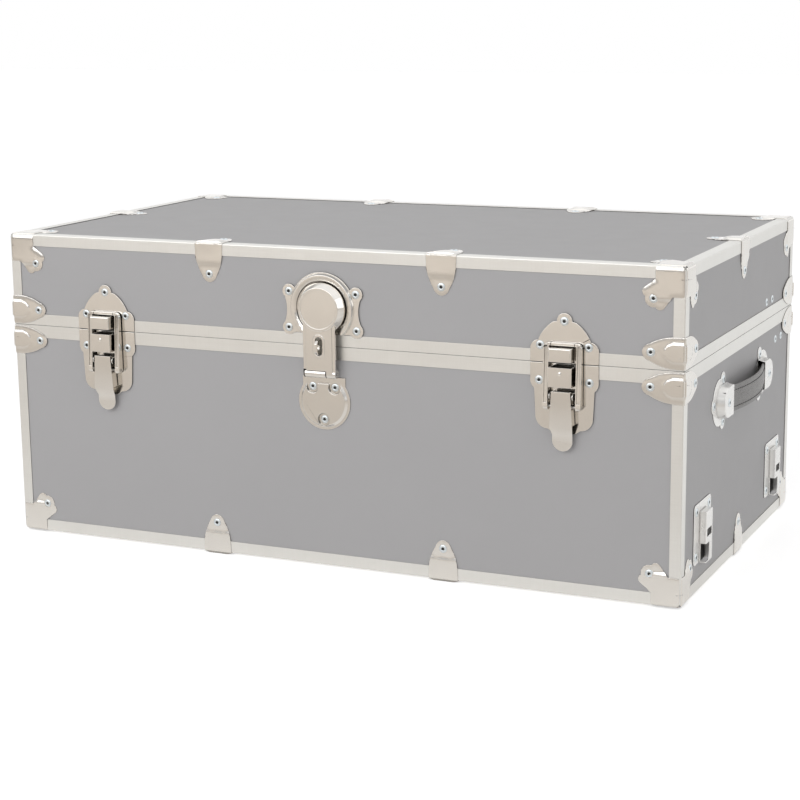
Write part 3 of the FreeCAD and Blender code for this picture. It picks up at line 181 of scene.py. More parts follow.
class Tree:
    """Nodes of a new material or world, added one by one; an input is a number, a colour or another
    node's output."""

    def __init__(self, name, world=False):
        self.owner = (bpy.data.worlds if world else bpy.data.materials).new(name)
        self.owner.use_nodes = True
        self.nodes = self.owner.node_tree.nodes
        self.links = self.owner.node_tree.links
        self.nodes.clear()
        self.coordinates = self.add("ShaderNodeTexCoord").outputs
        self.place = self.coordinates["Object"]

    def add(self, kind, inputs=None, **settings):
        """A node of the given kind, with its inputs and settings."""
        node = self.nodes.new(kind)
        for key, value in settings.items():
            setattr(node, key, value)
        for key, value in (inputs or {}).items():
            if isinstance(value, bpy.types.NodeSocket):
                self.links.new(value, node.inputs[key])
            else:
                node.inputs[key].default_value = value
        return node

    def math(self, operation, a, b=0.0):
        """Result of a sum on one or two values."""
        return self.add("ShaderNodeMath", {0: a, 1: b}, operation=operation).outputs[0]

    def noise(self, scale, detail=3.0, vector=None):
        """Cloudy value between zero and one, finer with a greater scale."""
        node = self.add("ShaderNodeTexNoise", {"Vector": vector or self.place, "Scale": scale,
                                               "Detail": detail})
        return node.outputs["Fac"]

    def stretched(self, x, y, z):
        """The place scaled differently along each axis, for grain and brush marks."""
        node = self.add("ShaderNodeMapping", {"Vector": self.place, "Scale": (x, y, z)})
        return node.outputs["Vector"]

    def ramp(self, value, low, high, start=0.0, end=1.0):
        """Value mapped from start..end to low..high."""
        node = self.add("ShaderNodeMapRange", {"Value": value, "From Min": start, "From Max": end,
                                               "To Min": low, "To Max": high})
        return node.outputs["Result"]

    def mix(self, fac, a, b):
        """Colour a at zero, colour b at one, and their mix between."""
        node = self.add("ShaderNodeMix", {"Factor": fac}, data_type="RGBA")
        for socket, value in ((node.inputs[6], a), (node.inputs[7], b)):
            if isinstance(value, bpy.types.NodeSocket):
                self.links.new(value, socket)
            else:
                socket.default_value = (*value, 1.0)
        return node.outputs[2]

    def within(self, low_high):
        """One inside a box of two corners, zero outside it."""
        low, high = (Vector(corner) for corner in low_high)
        apart = self.add("ShaderNodeVectorMath", {0: self.place, 1: (low + high) / 2}, operation="SUBTRACT")
        apart = self.add("ShaderNodeVectorMath", {0: apart.outputs[0]}, operation="ABSOLUTE")
        apart = self.add("ShaderNodeVectorMath", {0: apart.outputs[0], 1: (high - low) / 2},
                         operation="SUBTRACT")
        axes = self.add("ShaderNodeSeparateXYZ", {0: apart.outputs[0]}).outputs
        furthest = self.math("MAXIMUM", self.math("MAXIMUM", axes["X"], axes["Y"]), axes["Z"])
        return self.math("LESS_THAN", furthest, 0.0)

    def shade_painted_in_boxes(self, colour, rough, metal, hollows):
        """Colour, roughness and metal of a sheet with painted shade inside boxes: near black, matte and not
        metal there.
        """
        if not hollows:
            return colour, rough, metal
        within = self.within(hollows[0])
        for hollow in hollows[1:]:
            within = self.math("MAXIMUM", within, self.within(hollow))
        # painted shade: near black, matte and not metal inside the boxes
        colour = self.mix(within, colour, (0.012, 0.011, 0.010))
        rough = self.math("MAXIMUM", rough, self.math("MULTIPLY", within, 0.7))
        return colour, rough, self.math("MULTIPLY", self.math("SUBTRACT", 1.0, within), metal)

    def with_painted_crease_shade(self, colour, reach, share, closed=0.30, clear=0.85):
        """Colour with painted shade where surfaces meet, out to the given reach.

        It is full where less than the closed share of the sky is seen, and gone above the clear share."""
        node = self.add("ShaderNodeAmbientOcclusion", {"Distance": reach}, samples=8)
        # painted shade, strongest where little of the sky is seen
        painted_shade = self.ramp(node.outputs["AO"], share, 0.0, closed, clear)
        return self.mix(painted_shade, colour, (0.070, 0.058, 0.046))

    def bump(self, height, strength, distance, normal=None):
        """Normal of a surface that rises by the height, on top of another bump where one is given."""
        inputs = {"Height": height, "Strength": strength, "Distance": distance}
        if normal:
            inputs["Normal"] = normal
        return self.add("ShaderNodeBump", inputs).outputs["Normal"]

    def finish(self, **inputs):
        """The finished material, with the given inputs of its surface."""
        shader = self.add("ShaderNodeBsdfPrincipled", {key.replace("_", " "): value
                                                       for key, value in inputs.items()})
        self.add("ShaderNodeOutputMaterial", {"Surface": shader.outputs[0]})
        return self.owner


def grey_skin_on_plywood():
    """Satin grey skin on the chest's outer faces, bare birch plywood everywhere else."""
    tree = Tree("grey_skin_on_plywood")
    axes = tree.add("ShaderNodeSeparateXYZ", {0: tree.place}).outputs
    beyond_x = tree.math("GREATER_THAN", tree.math("ABSOLUTE", axes["X"]), skin_half_x - on_skin)
    from_middle = tree.math("ABSOLUTE", tree.math("SUBTRACT", axes["Y"], skin_middle_y))
    beyond_y = tree.math("GREATER_THAN", from_middle, skin_half_y - on_skin)
    above = tree.math("GREATER_THAN", axes["Z"], skin_top - on_skin)
    below = tree.math("LESS_THAN", axes["Z"], skin_bottom + on_skin)
    outside = tree.math("MAXIMUM", tree.math("MAXIMUM", beyond_x, beyond_y),
                        tree.math("MAXIMUM", above, below))

    mottle = tree.noise(9.0, 4.0)
    speck = tree.noise(900.0, 2.0)
    skin = tree.mix(mottle, (0.417, 0.409, 0.413), (0.437, 0.429, 0.433))
    skin = tree.mix(tree.ramp(speck, 0.0, 0.10, 0.35, 0.75), skin, (0.37, 0.365, 0.37))

    grain = tree.noise(11.0, 6.0, tree.stretched(1.0, 14.0, 14.0))
    rings = tree.add("ShaderNodeTexWave", {"Vector": tree.stretched(0.5, 5.0, 5.0), "Scale": 5.0,
                                           "Distortion": 5.0, "Detail": 3.0, "Detail Scale": 1.6})
    birch = tree.mix(grain, (0.58, 0.40, 0.23), (0.74, 0.56, 0.36))
    birch = tree.mix(tree.ramp(rings.outputs["Fac"], 0.0, 0.35), birch, (0.50, 0.33, 0.18))

    roughness = tree.ramp(tree.noise(40.0, 3.0), 0.42, 0.52)
    wood_roughness = tree.ramp(grain, 0.62, 0.78)
    rough = tree.add("ShaderNodeMix", {"Factor": outside, 2: wood_roughness, 3: roughness}).outputs[0]
    skin_bump = tree.bump(speck, 0.10, 0.15 * mm)
    wood_bump = tree.bump(grain, 0.25, 0.4 * mm)
    normal = tree.add("ShaderNodeMix", {"Factor": outside}, data_type="VECTOR")
    tree.links.new(wood_bump, normal.inputs[4])
    tree.links.new(skin_bump, normal.inputs[5])
    return tree.finish(Base_Color=tree.mix(outside, birch, skin), Roughness=rough,
                       Normal=normal.outputs[1], Specular_IOR_Level=0.4)


def satin_edging(name="satin_edging", covered=False):
    """Pale drawn metal with faint lines along it and small handling marks, painted shade in its creases, and
    more painted shade where it is covered.
    """
    tree = Tree(name)
    along_x = tree.noise(70.0, 3.0, tree.stretched(0.06, 10.0, 10.0))
    along_z = tree.noise(70.0, 3.0, tree.stretched(10.0, 10.0, 0.06))
    lines = tree.math("MULTIPLY", tree.math("ADD", along_x, along_z), 0.5)
    patches = tree.noise(22.0, 4.0)
    colour = tree.mix(patches, (0.77, 0.76, 0.73), (0.83, 0.82, 0.79))
    colour = tree.mix(tree.ramp(lines, 0.0, 0.25, 0.35, 0.7), colour, (0.70, 0.69, 0.65))
    colour = tree.with_painted_crease_shade(colour, 1.2 * mm, 0.6)
    if covered:
        # painted shade where another piece lies close in front
        colour = tree.with_painted_crease_shade(colour, cover_reach, 1.0, 0.22, 0.50)
    rough = tree.ramp(tree.noise(160.0, 3.0), 0.30, 0.42)
    return tree.finish(Base_Color=colour, Metallic=0.85, Roughness=rough,
                       Normal=tree.bump(lines, 0.12, 0.08 * mm))


def pressed_nickel(name="pressed_nickel", hollows=(), covered=False, bright=False):
    """Nickel plate on pressed steel: soft waves of the press, fine scratches, painted shade in the creases.

    The bright finish of the end fittings is paler and less of a mirror. A covered piece has painted shade
    wherever another lies close in front of it. Inside the given boxes painted shade makes the sheet near
    black, matte and not metal, where the pockets lie in deep shade."""
    tree = Tree(name)
    waves = tree.noise(38.0, 1.0)
    haze = tree.noise(60.0, 2.0)
    scratches = tree.noise(120.0, 2.0, tree.stretched(1.0, 1.0, 16.0))
    dull, clean = ((0.90, 0.89, 0.87), (0.96, 0.95, 0.93)) if bright else ((0.770, 0.745, 0.705),
                                                                          (0.820, 0.795, 0.755))
    colour = tree.mix(tree.noise(35.0, 2.0), dull, clean)
    colour = tree.mix(tree.ramp(scratches, 0.0, 0.12, 0.45, 0.75), colour, (0.62, 0.59, 0.55))
    colour = tree.with_painted_crease_shade(colour, 3.0 * mm, 0.95)
    if covered:
        # painted shade where another piece lies close in front
        colour = tree.with_painted_crease_shade(colour, cover_reach, 1.0, 0.22, 0.50)
    rough = tree.ramp(haze, 0.22, 0.30) if bright else tree.ramp(haze, 0.10, 0.19)
    normal = tree.bump(waves, 0.22, 0.5 * mm)
    normal = tree.bump(scratches, 0.02, 0.03 * mm, normal)
    colour, rough, metal = tree.shade_painted_in_boxes(colour, rough, 0.55 if bright else 1.0, hollows)
    return tree.finish(Base_Color=colour, Metallic=metal, Roughness=rough, Normal=normal)


def zinc_rivet():
    """Bright zinc with a bluish cast."""
    tree = Tree("zinc_rivet")
    haze = tree.noise(600.0, 3.0)
    colour = tree.mix(haze, (0.62, 0.68, 0.71), (0.82, 0.86, 0.88))
    return tree.finish(Base_Color=colour, Metallic=1.0, Roughness=tree.ramp(haze, 0.22, 0.38),
                       Normal=tree.bump(haze, 0.2, 0.05 * mm))


def rivet_hollow():
    """Painted shade for the inside of a tubular rivet: near black."""
    tree = Tree("rivet_hollow")
    shade_mottle = tree.noise(900.0, 2.0)
    colour = tree.mix(shade_mottle, (0.015, 0.014, 0.014), (0.05, 0.048, 0.045))
    return tree.finish(Base_Color=colour, Metallic=0.2, Roughness=tree.ramp(shade_mottle, 0.5, 0.7))


def plain_steel():
    """Brushed steel of pins and the lid stay."""
    tree = Tree("plain_steel")
    brush = tree.noise(90.0, 3.0, tree.stretched(0.4, 9.0, 9.0))
    colour = tree.mix(brush, (0.42, 0.41, 0.40), (0.60, 0.59, 0.57))
    return tree.finish(Base_Color=colour, Metallic=1.0, Roughness=tree.ramp(brush, 0.25, 0.42),
                       Normal=tree.bump(brush, 0.15, 0.06 * mm))


def grey_leather():
    """Grey top-grain leather: pebbled cells, finer pores, polished high spots and darker creases."""
    tree = Tree("grey_leather")
    cells = tree.add("ShaderNodeTexVoronoi", {"Vector": tree.place, "Scale": 750.0},
                     feature="DISTANCE_TO_EDGE").outputs["Distance"]
    pebble = tree.ramp(cells, 0.0, 1.0, 0.0, 0.12)
    pores = tree.noise(2200.0, 2.0)
    mottle = tree.noise(60.0, 4.0)
    colour = tree.mix(mottle, (0.245, 0.237, 0.232), (0.340, 0.328, 0.321))
    colour = tree.mix(pebble, (0.120, 0.115, 0.112), colour)
    normal = tree.bump(pebble, 0.35, 0.12 * mm)
    normal = tree.bump(pores, 0.12, 0.05 * mm, normal)
    return tree.finish(Base_Color=colour, Roughness=tree.ramp(mottle, 0.38, 0.55), Normal=normal,
                       Sheen_Weight=0.08, Specular_IOR_Level=0.45)


def waxed_thread():
    """Nearly black waxed thread with a fine twist."""
    tree = Tree("waxed_thread")
    wave = tree.add("ShaderNodeTexWave", {"Vector": tree.place, "Scale": 900.0, "Distortion": 1.0})
    twist = wave.outputs["Fac"]
    colour = tree.mix(twist, (0.020, 0.019, 0.019), (0.045, 0.043, 0.042))
    return tree.finish(Base_Color=colour, Roughness=0.55, Normal=tree.bump(twist, 0.3, 0.05 * mm))


def new_piece(name, points, faces, materials, body, smooth=True, face_slots=None):
    """Mesh object from an array of points and a list of faces, riding on a body."""
    mesh = bpy.data.meshes.new(name)
    mesh.from_pydata(points.tolist(), [], faces)
    for material in materials:
        mesh.materials.append(material)
    if face_slots is not None:
        mesh.polygons.foreach_set("material_index", face_slots.astype(np.int32))
    mesh.polygons.foreach_set("use_smooth", np.full(len(mesh.polygons), smooth))
    mesh.update()
    piece = bpy.data.objects.new(name, mesh)
    bpy.context.scene.collection.objects.link(piece)
    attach(piece, body)
    return piece


def grid_faces(rows, columns):
    """Quads between neighbouring rows of a grid whose columns close round."""
    row = np.arange(rows - 1)[:, None]
    column = np.arange(columns)[None, :]
    following = (column + 1) % columns
    a = row * columns + column
    b = row * columns + following
    quads = np.stack([a, b, b + columns, a + columns], axis=-1)
    return quads.reshape(-1, 4)


def copies(points, faces, turns, places):
    """The same small mesh repeated: each copy is turned by a 3x3 matrix and moved to its place."""
    count = len(places)
    every = np.einsum("nij,pj->npi", turns, points) + places[:, None, :]
    offsets = (np.arange(count) * len(points))[:, None, None]
    return every.reshape(-1, 3), (faces[None] + offsets).reshape(-1, faces.shape[1])


def off_skin(edge):
    """How far an edge's middle lies beyond the skin's planes across the width, depth and height."""
    x, y, z = (edge.verts[0].co + edge.verts[1].co) / 2
    return (abs(x) - skin_half_x, abs(y - skin_middle_y) - skin_half_y, max(z - skin_top, skin_bottom - z))


def stands_proud(edge):
    """Whether an edge is clear of the skin's planes, so that it isn't a plate's back edge."""
    return max(off_skin(edge)) > clear_of_skin


def is_fold(edge):
    """Whether an edge runs along an edge of the chest, off two of the skin's planes."""
    return sum(off > clear_of_skin for off in off_skin(edge)) > 1


def arrays_of(mesh):
    """A mesh's points, the point numbers of its faces' corners in order, and each face's corner count."""
    points = np.zeros(len(mesh.vertices) * 3)
    mesh.vertices.foreach_get("co", points)
    corners = np.zeros(len(mesh.loops), dtype=np.int64)
    mesh.loops.foreach_get("vertex_index", corners)
    totals = np.zeros(len(mesh.polygons), dtype=np.int64)
    mesh.polygons.foreach_get("loop_total", totals)
    return points.reshape(-1, 3), corners, totals


def outward_of(points):
    """Unit directions away from the chest's skin planes, and how far off the skin each point is."""
    off = np.stack([np.abs(points[:, 0]) - skin_half_x, np.abs(points[:, 1] - skin_middle_y) - skin_half_y,
                    np.maximum(points[:, 2] - skin_top, skin_bottom - points[:, 2])], axis=-1)
    sign = np.sign(points - np.array([0.0, skin_middle_y, (skin_top + skin_bottom) / 2]))
    out = np.where(off > on_skin, sign, 0.0)
    length = np.maximum(np.linalg.norm(out, axis=1, keepdims=True), 1e-9)
    return out / length, off.max(axis=1)


def cut_corners(build, far, depth):
    """Takes the tips off at the chest's eight corners, which the rounded caps cover.

    Each tip stands the distance far beyond three of the skin's planes, and is cut off square to its
    diagonal at the given depth."""
    middle = Vector((0.0, skin_middle_y, (skin_top + skin_bottom) / 2))
    half = Vector((skin_half_x + far, skin_half_y + far, (skin_top - skin_bottom) / 2 + far))
    for sides in ((x, y, z) for x in (-1, 1) for y in (-1, 1) for z in (-1, 1)):
        tip = middle + half * Vector(sides)
        outward = Vector(sides).normalized()
        bmesh.ops.bisect_plane(build, geom=build.verts[:] + build.edges[:] + build.faces[:], dist=1e-7,
                               plane_co=tip - outward * depth, plane_no=outward, clear_outer=True)


def part_numbers(mesh):
    """For each point of a mesh, the number of the loose part that it belongs to.

    Every point starts with a number of its own and takes the lowest one at the other ends of its edges,
    again and again until nothing changes."""
    ends = np.zeros(len(mesh.edges) * 2, dtype=np.int64)
    mesh.edges.foreach_get("vertices", ends)
    first, second = ends.reshape(-1, 2).T
    numbers = np.arange(len(mesh.vertices))
    while True:
        lowest = numbers.copy()
        np.minimum.at(lowest, first, numbers[second])
        np.minimum.at(lowest, second, numbers[first])
        lowest = lowest[lowest]
        if np.array_equal(lowest, numbers):
            return np.unique(numbers, return_inverse=True)[1]
        numbers = lowest


def loose_parts(mesh):
    """Each part of a mesh that touches no other, as a mesh of its own, with its box's two corners."""
    points, corners, totals = arrays_of(mesh)
    numbers = part_numbers(mesh)
    of_face = numbers[corners[np.cumsum(totals) - totals]]
    of_corner = np.repeat(of_face, totals)
    for number in range(numbers.max() + 1):
        own = numbers == number
        own_corners = (np.cumsum(own) - 1)[corners[of_corner == number]]
        own_totals = totals[of_face == number]
        part = bpy.data.meshes.new("part")
        part.vertices.add(int(own.sum()))
        part.vertices.foreach_set("co", points[own].reshape(-1))
        part.loops.add(len(own_corners))
        part.loops.foreach_set("vertex_index", own_corners.astype(np.int32))
        part.polygons.add(len(own_totals))
        part.polygons.foreach_set("loop_start", (np.cumsum(own_totals) - own_totals).astype(np.int32))
        part.update(calc_edges=True)
        yield part, points[own].min(axis=0), points[own].max(axis=0)


def cut_in_cells(mesh, spacing):
    """Cuts the sheet along a regular grid, so that its faces are small enough to swell.

    Planes beyond the skin's own planes would only split the sheet's thickness, so they are left out."""
    whole = bmesh.new()
    edge_low = (-skin_half_x, skin_middle_y - skin_half_y, skin_bottom)
    edge_high = (skin_half_x, skin_middle_y + skin_half_y, skin_top)
    for part, low, high in loose_parts(mesh):
        build = bmesh.new()
        build.from_mesh(part)
        for axis in range(3):
            count = int((high[axis] - low[axis]) / spacing)
            normal = np.eye(3)[axis]
            for place in np.linspace(low[axis], high[axis], count + 2)[1:-1]:
                if edge_low[axis] < place < edge_high[axis]:
                    bmesh.ops.bisect_plane(build, geom=build.verts[:] + build.edges[:] + build.faces[:],
                                           dist=1e-7, plane_co=normal * place, plane_no=normal)
        build.to_mesh(part)
        build.free()
        whole.from_mesh(part)
        bpy.data.meshes.remove(part)
    whole.to_mesh(mesh)
    whole.free()


def nearby(count):
    """Numbers up to the count in short runs, so that tables of distances stay small."""
    return np.array_split(np.arange(count), count // points_at_once + 1)


def evened(points, out, off, moved, blur):
    """Heights of the outer face's points, each the mean of those round it.

    Each point first takes the greatest height within the blur, so that the sheet stays above what it
    covers. Then a neighbour at distance d weighs exp(-(2 * d / blur)^2), with d taken along the face, so
    that a step becomes a soft rise."""
    heights = off[moved].copy()
    for axis in range(3):
        for sign in (-1.0, 1.0):
            group = np.flatnonzero(out[moved][:, axis] * sign > 0.99)
            if not len(group):
                continue
            along = np.delete(points[moved[group]], axis, axis=1)
            high = off[moved[group]]
            greatest = high.copy()
            for run in nearby(len(group)):
                away = np.linalg.norm(along[run][:, None] - along[None], axis=-1)
                greatest[run] = np.where(away < blur, high, 0.0).max(axis=1)
            for run in nearby(len(group)):
                away = np.linalg.norm(along[run][:, None] - along[None], axis=-1)
                weight = np.exp(-(2 * away / blur) ** 2)
                heights[group[run]] = (weight * greatest).sum(axis=1) / weight.sum(axis=1)
    return heights


def rounded_off(points, off, radius):
    """Draws the points that lie near the chest's edges and corners onto a rounded box.

    The core is the pieces' outer box less the radius. A point whose excess over the core is e goes to
    core + e * max(e) / |e|, so that flat faces stay and folds get that radius."""
    rim = off.max()
    middle = np.array([0.0, skin_middle_y, (skin_top + skin_bottom) / 2])
    half = np.array([skin_half_x, skin_half_y, (skin_top - skin_bottom) / 2])
    core = half + rim - radius
    place = points - middle
    excess = np.maximum(np.abs(place) - core, 0.0)
    length = np.maximum(np.linalg.norm(excess, axis=1), 1e-9)
    near = (excess > 0).sum(axis=1) > 1
    scale = (excess.max(axis=1) / length)[:, None]
    drawn = np.sign(place) * np.where(excess > 0, core + excess * scale, np.abs(place))
    return np.where(near[:, None], drawn + middle, points)


def swollen(mesh, sink, reach, blur, radius, ease):
    """Presses the sheet's outer face into a low pillow.

    A point of the outer face goes towards the skin by sink * (1 - d / reach)^2, where d is its distance
    from the sheet's outline, and stays where d is more than the reach. On upright faces, what stands
    above the sheet's middle height keeps only the share ease of its rise. Steps inside the outline are
    evened out, and the folds over the chest's edges are rounded last."""
    points, corners, totals = arrays_of(mesh)
    out, off = outward_of(points)
    normals = np.zeros(len(totals) * 3)
    mesh.polygons.foreach_get("normal", normals)
    centres = np.zeros(len(totals) * 3)
    mesh.polygons.foreach_get("center", centres)
    face_out, face_off = outward_of(centres.reshape(-1, 3))
    facing = (normals.reshape(-1, 3) * face_out).sum(axis=1)
    outer_face = (facing > pillow_faces_out) & (face_off > pillow_off_skin)
    of_face = np.repeat(np.arange(len(totals)), totals)
    on_top = np.full(len(points), False)
    on_top[corners[outer_face[of_face]]] = True
    reaches_back = np.full(len(totals), False)
    reaches_back[of_face[~on_top[corners]]] = True
    on_wall = np.full(len(points), False)
    on_wall[corners[reaches_back[of_face]]] = True
    outline = points[on_top & on_wall]
    moved = np.flatnonzero(on_top)
    sunk = np.zeros(len(moved))
    for run in nearby(len(moved)):
        away = np.linalg.norm(points[moved[run]][:, None] - outline[None], axis=-1).min(axis=1)
        sunk[run] = sink * np.clip(1 - away / reach, 0, 1) ** 2
    usual = np.median(off[moved])
    eased = np.where((off > usual) & (np.abs(out[:, 2]) < 0.5), usual + (off - usual) * ease, off)
    rise = evened(points, out, eased, moved, blur) - off[moved] - sunk
    single = np.abs(out[moved]).max(axis=1) > 0.99
    points[moved] += out[moved] * np.where(single, rise, -sunk)[:, None]
    points = rounded_off(points, off, radius)
    mesh.vertices.foreach_set("co", points.reshape(-1))
    mesh.update()


def pressed(node, material, width=trim_round, fold=1.0, corner=0.0, pillow=None):
    """The CAD piece with its sharp edges rounded off, as pressed sheet has them.

    The copy's loose triangles are merged and its flat areas made one face; then every edge sharper than
    32 degrees, or 50 on a pillowed piece, is rolled over: an outer edge by the given width, an inner one
    by a share of it, and an edge that lies on the skin not at all. A fold over the chest's edge gets its
    own share. The corner is how much comes off the chest's corners, under the rounded caps. A pillow is
    a row of the table of pillowed sheets."""
    source = nodes[node]
    mesh = source.data.copy()
    mesh.name = node + "_pressed"
    build = bmesh.new()
    build.from_mesh(mesh)
    bmesh.ops.remove_doubles(build, verts=build.verts, dist=same_point)
    bmesh.ops.dissolve_limit(build, angle_limit=same_flat, verts=build.verts, edges=build.edges,
                             delimit={"MATERIAL"})
    if corner:
        cut_corners(build, np.abs(arrays_of(mesh)[0][:, 0]).max() - skin_half_x, corner)
    if pillow:
        build.to_mesh(mesh)
        cut_in_cells(mesh, pillow_cell)
        swollen(mesh, *pillow)
        build.clear()
        build.from_mesh(mesh)
        bmesh.ops.remove_doubles(build, verts=build.verts, dist=pillow_same_point)
    sharp = sharp_from_on_pillow if pillow else sharp_from
    weights = build.edges.layers.float.new("bevel_weight_edge")
    for edge in build.edges:
        if edge.is_manifold and edge.calc_face_angle() > sharp and stands_proud(edge):
            outer_share = fold if is_fold(edge) else 1.0
            edge[weights] = outer_share if edge.calc_face_angle_signed() > 0 else inner_share
    build.to_mesh(mesh)
    build.free()
    mesh.materials.clear()
    mesh.materials.append(material)
    piece = bpy.data.objects.new(node + "_pressed", mesh)
    bpy.context.scene.collection.objects.link(piece)
    mesh.polygons.foreach_set("use_smooth", np.full(len(mesh.polygons), True))
    mesh.set_sharp_from_angle(angle=sharp_from)
    bevel = piece.modifiers.new("rolled edge", "BEVEL")
    bevel.width = width
    bevel.segments = 3
    bevel.limit_method = "WEIGHT"
    bevel.use_clamp_overlap = False
    flats = piece.modifiers.new("flat faces", "WEIGHTED_NORMAL")
    flats.weight = 80
    flats.keep_sharp = False
    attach(piece, source["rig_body"])
    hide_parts(node)


def dress(node, material):
    """The CAD piece as it is, with a finished material."""
    mesh = nodes[node].data
    mesh.materials.clear()
    mesh.materials.append(material)


def rivet_places(node):
    """Foot centre and outward direction of every rivet head in a node.

    The heads are found one by one: all points within a head's width of the first point left."""
    points = arrays_of(nodes[node].data)[0]
    middle = (np.array(cad_low) + np.array(cad_high)) / 2
    centres, outs = [], []
    left = np.full(len(points), True)
    while left.any():
        first = points[np.argmax(left)]
        near = left & (np.linalg.norm(points - first, axis=1) < 2.2 * rivet_radius)
        head = points[near]
        left &= ~near
        low, high = head.min(0), head.max(0)
        axis = int(np.argmin(high - low))
        out = np.zeros(3)
        out[axis] = np.sign((low + high)[axis] / 2 - middle[axis])
        centre = (low + high) / 2
        centre[axis] = low[axis] if out[axis] > 0 else high[axis]
        centres.append(centre)
        outs.append(out)
    return np.array(centres), np.array(outs)


def turns_to(outs):
    """Rotation matrices that take +Z to each outward direction along an axis."""
    helper = np.where(np.abs(outs[:, 2:3]) > 0.5, np.array([[1.0, 0, 0]]), np.array([[0, 0, 1.0]]))
    side = np.cross(helper, outs)
    across = np.cross(outs, side)
    return np.stack([side, across, outs], axis=-1)


def tubular_rivets(node, body):
    """Rivet heads with a rolled rim and a hollow middle in painted shade: an outline of radius and height
    turned round.
    """
    outline = np.array(rivet_outline) * (rivet_radius, rivet_rise)
    angle = np.linspace(0, 2 * math.pi, rivet_segments, endpoint=False)
    ring = np.stack([np.cos(angle), np.sin(angle)], axis=-1)
    points = np.concatenate([
        (outline[:, :1, None] * ring[None]).reshape(-1, 2),
        np.repeat(outline[:, 1], rivet_segments)[:, None]], axis=1)
    faces = grid_faces(len(outline), rivet_segments)
    # faces from the given ring inwards take the painted shade of the hollow
    dark = np.repeat(np.arange(len(outline) - 1) >= rivet_dark_from, rivet_segments).astype(int)
    centres, outs = rivet_places(node)
    every, quads = copies(points, faces, turns_to(outs), centres)
    piece = new_piece(node + "_tubular", every, quads.tolist(), [zinc, hollow_black], body,
                      face_slots=np.tile(dark, len(centres)))
    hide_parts(node)


def strap_path(node):
    """Numbers of a handle strap's run, from its CAD solid: side of the chest, middle, half length, half
    width, distance of its back from the chest's middle in the caps, and how far it bows between them."""
    low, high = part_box(node)
    side = 1.0 if high.x > 0 else -1.0
    middle = np.array([0.0, (low.y + high.y) / 2, (low.z + high.z) / 2])
    inner = min(abs(low.x), abs(high.x))
    bow = high.x - low.x - strap_thickness
    return side, middle, (high.y - low.y) / 2, (high.z - low.z) / 2, inner, bow


def strap_run(along, inner, mouth, bow):
    """Distance of the strap's back from the middle of the chest at each place along it.

    Straight in the caps and an arc of the given bow between the mouths, blended over a few millimetres:
    the straight part's distance plus soft * ln(1 + exp(arc / soft))."""
    radius = (mouth ** 2 + bow ** 2) / (2 * bow)
    arc = np.sqrt(np.maximum(radius ** 2 - along ** 2, 0)) - (radius - bow)
    soft = 1.2 * mm
    return inner + soft * np.log1p(np.exp(arc / soft))


def leather_strap(name, node):
    """Handle strap: a flat rounded section carried along its run, with sewn grooves and a padded middle.

    At the angle t the section is at half the width times |cos t|^0.55 and half the thickness times
    |sin t|^0.42, each with its sign, less the padding. Along two lines it dips by depth *
    exp(-(d / width)^2), and between them the outer face swells by padding * (1 - (across / grooves)^2)."""
    side, middle, reach, half_width, inner, bow = strap_path(node)
    mouth = reach - strap_in_cap
    rows, columns = 150, 96
    along = np.linspace(-reach, reach, rows)
    turn = np.linspace(0, 2 * math.pi, columns, endpoint=False)
    across = np.sign(np.cos(turn)) * np.abs(np.cos(turn)) ** 0.55 * half_width
    half_thick = np.sign(np.sin(turn)) * np.abs(np.sin(turn)) ** 0.42 * strap_thickness / 2
    groove = strap_groove_depth * np.exp(-((np.abs(across) - strap_grooves) / strap_groove_width) ** 2)
    pad = strap_padding * np.clip(1 - (across / strap_grooves) ** 2, 0, 1)
    out = half_thick - np.sign(np.sin(turn)) * (groove + strap_padding) * (np.abs(np.sin(turn)) > 0.05)
    out = out + np.where(np.sin(turn) > 0, pad, 0)
    back = strap_run(along, inner, mouth, bow)
    slope = np.gradient(back, along)
    tilt = 1 / np.sqrt(1 + slope ** 2)
    centre = back + strap_thickness / 2
    x = side * (centre[:, None] + out[None] * tilt[:, None])
    y = middle[1] + along[:, None] - (out[None] * (slope * tilt)[:, None])
    z = middle[2] + np.broadcast_to(across, (rows, columns))
    points = np.stack([x, y, z], axis=-1).reshape(-1, 3)
    caps = np.array([points[:columns].mean(0), points[-columns:].mean(0)])
    points = np.concatenate([points, caps])
    faces = grid_faces(rows, columns)
    ring = np.arange(columns)
    following = (ring + 1) % columns
    end = (rows - 1) * columns
    first = np.stack([np.full(columns, rows * columns), following, ring], axis=-1)
    last = np.stack([np.full(columns, rows * columns + 1), end + ring, end + following], axis=-1)
    turned = slice(None, None, -1 if side < 0 else 1)
    every = faces[:, turned].tolist() + first[:, turned].tolist() + last[:, turned].tolist()
    piece = new_piece(name, points, every, [leather], "base")
    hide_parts(node)
    stitches(name + "_stitches", side, middle, inner, mouth, bow)


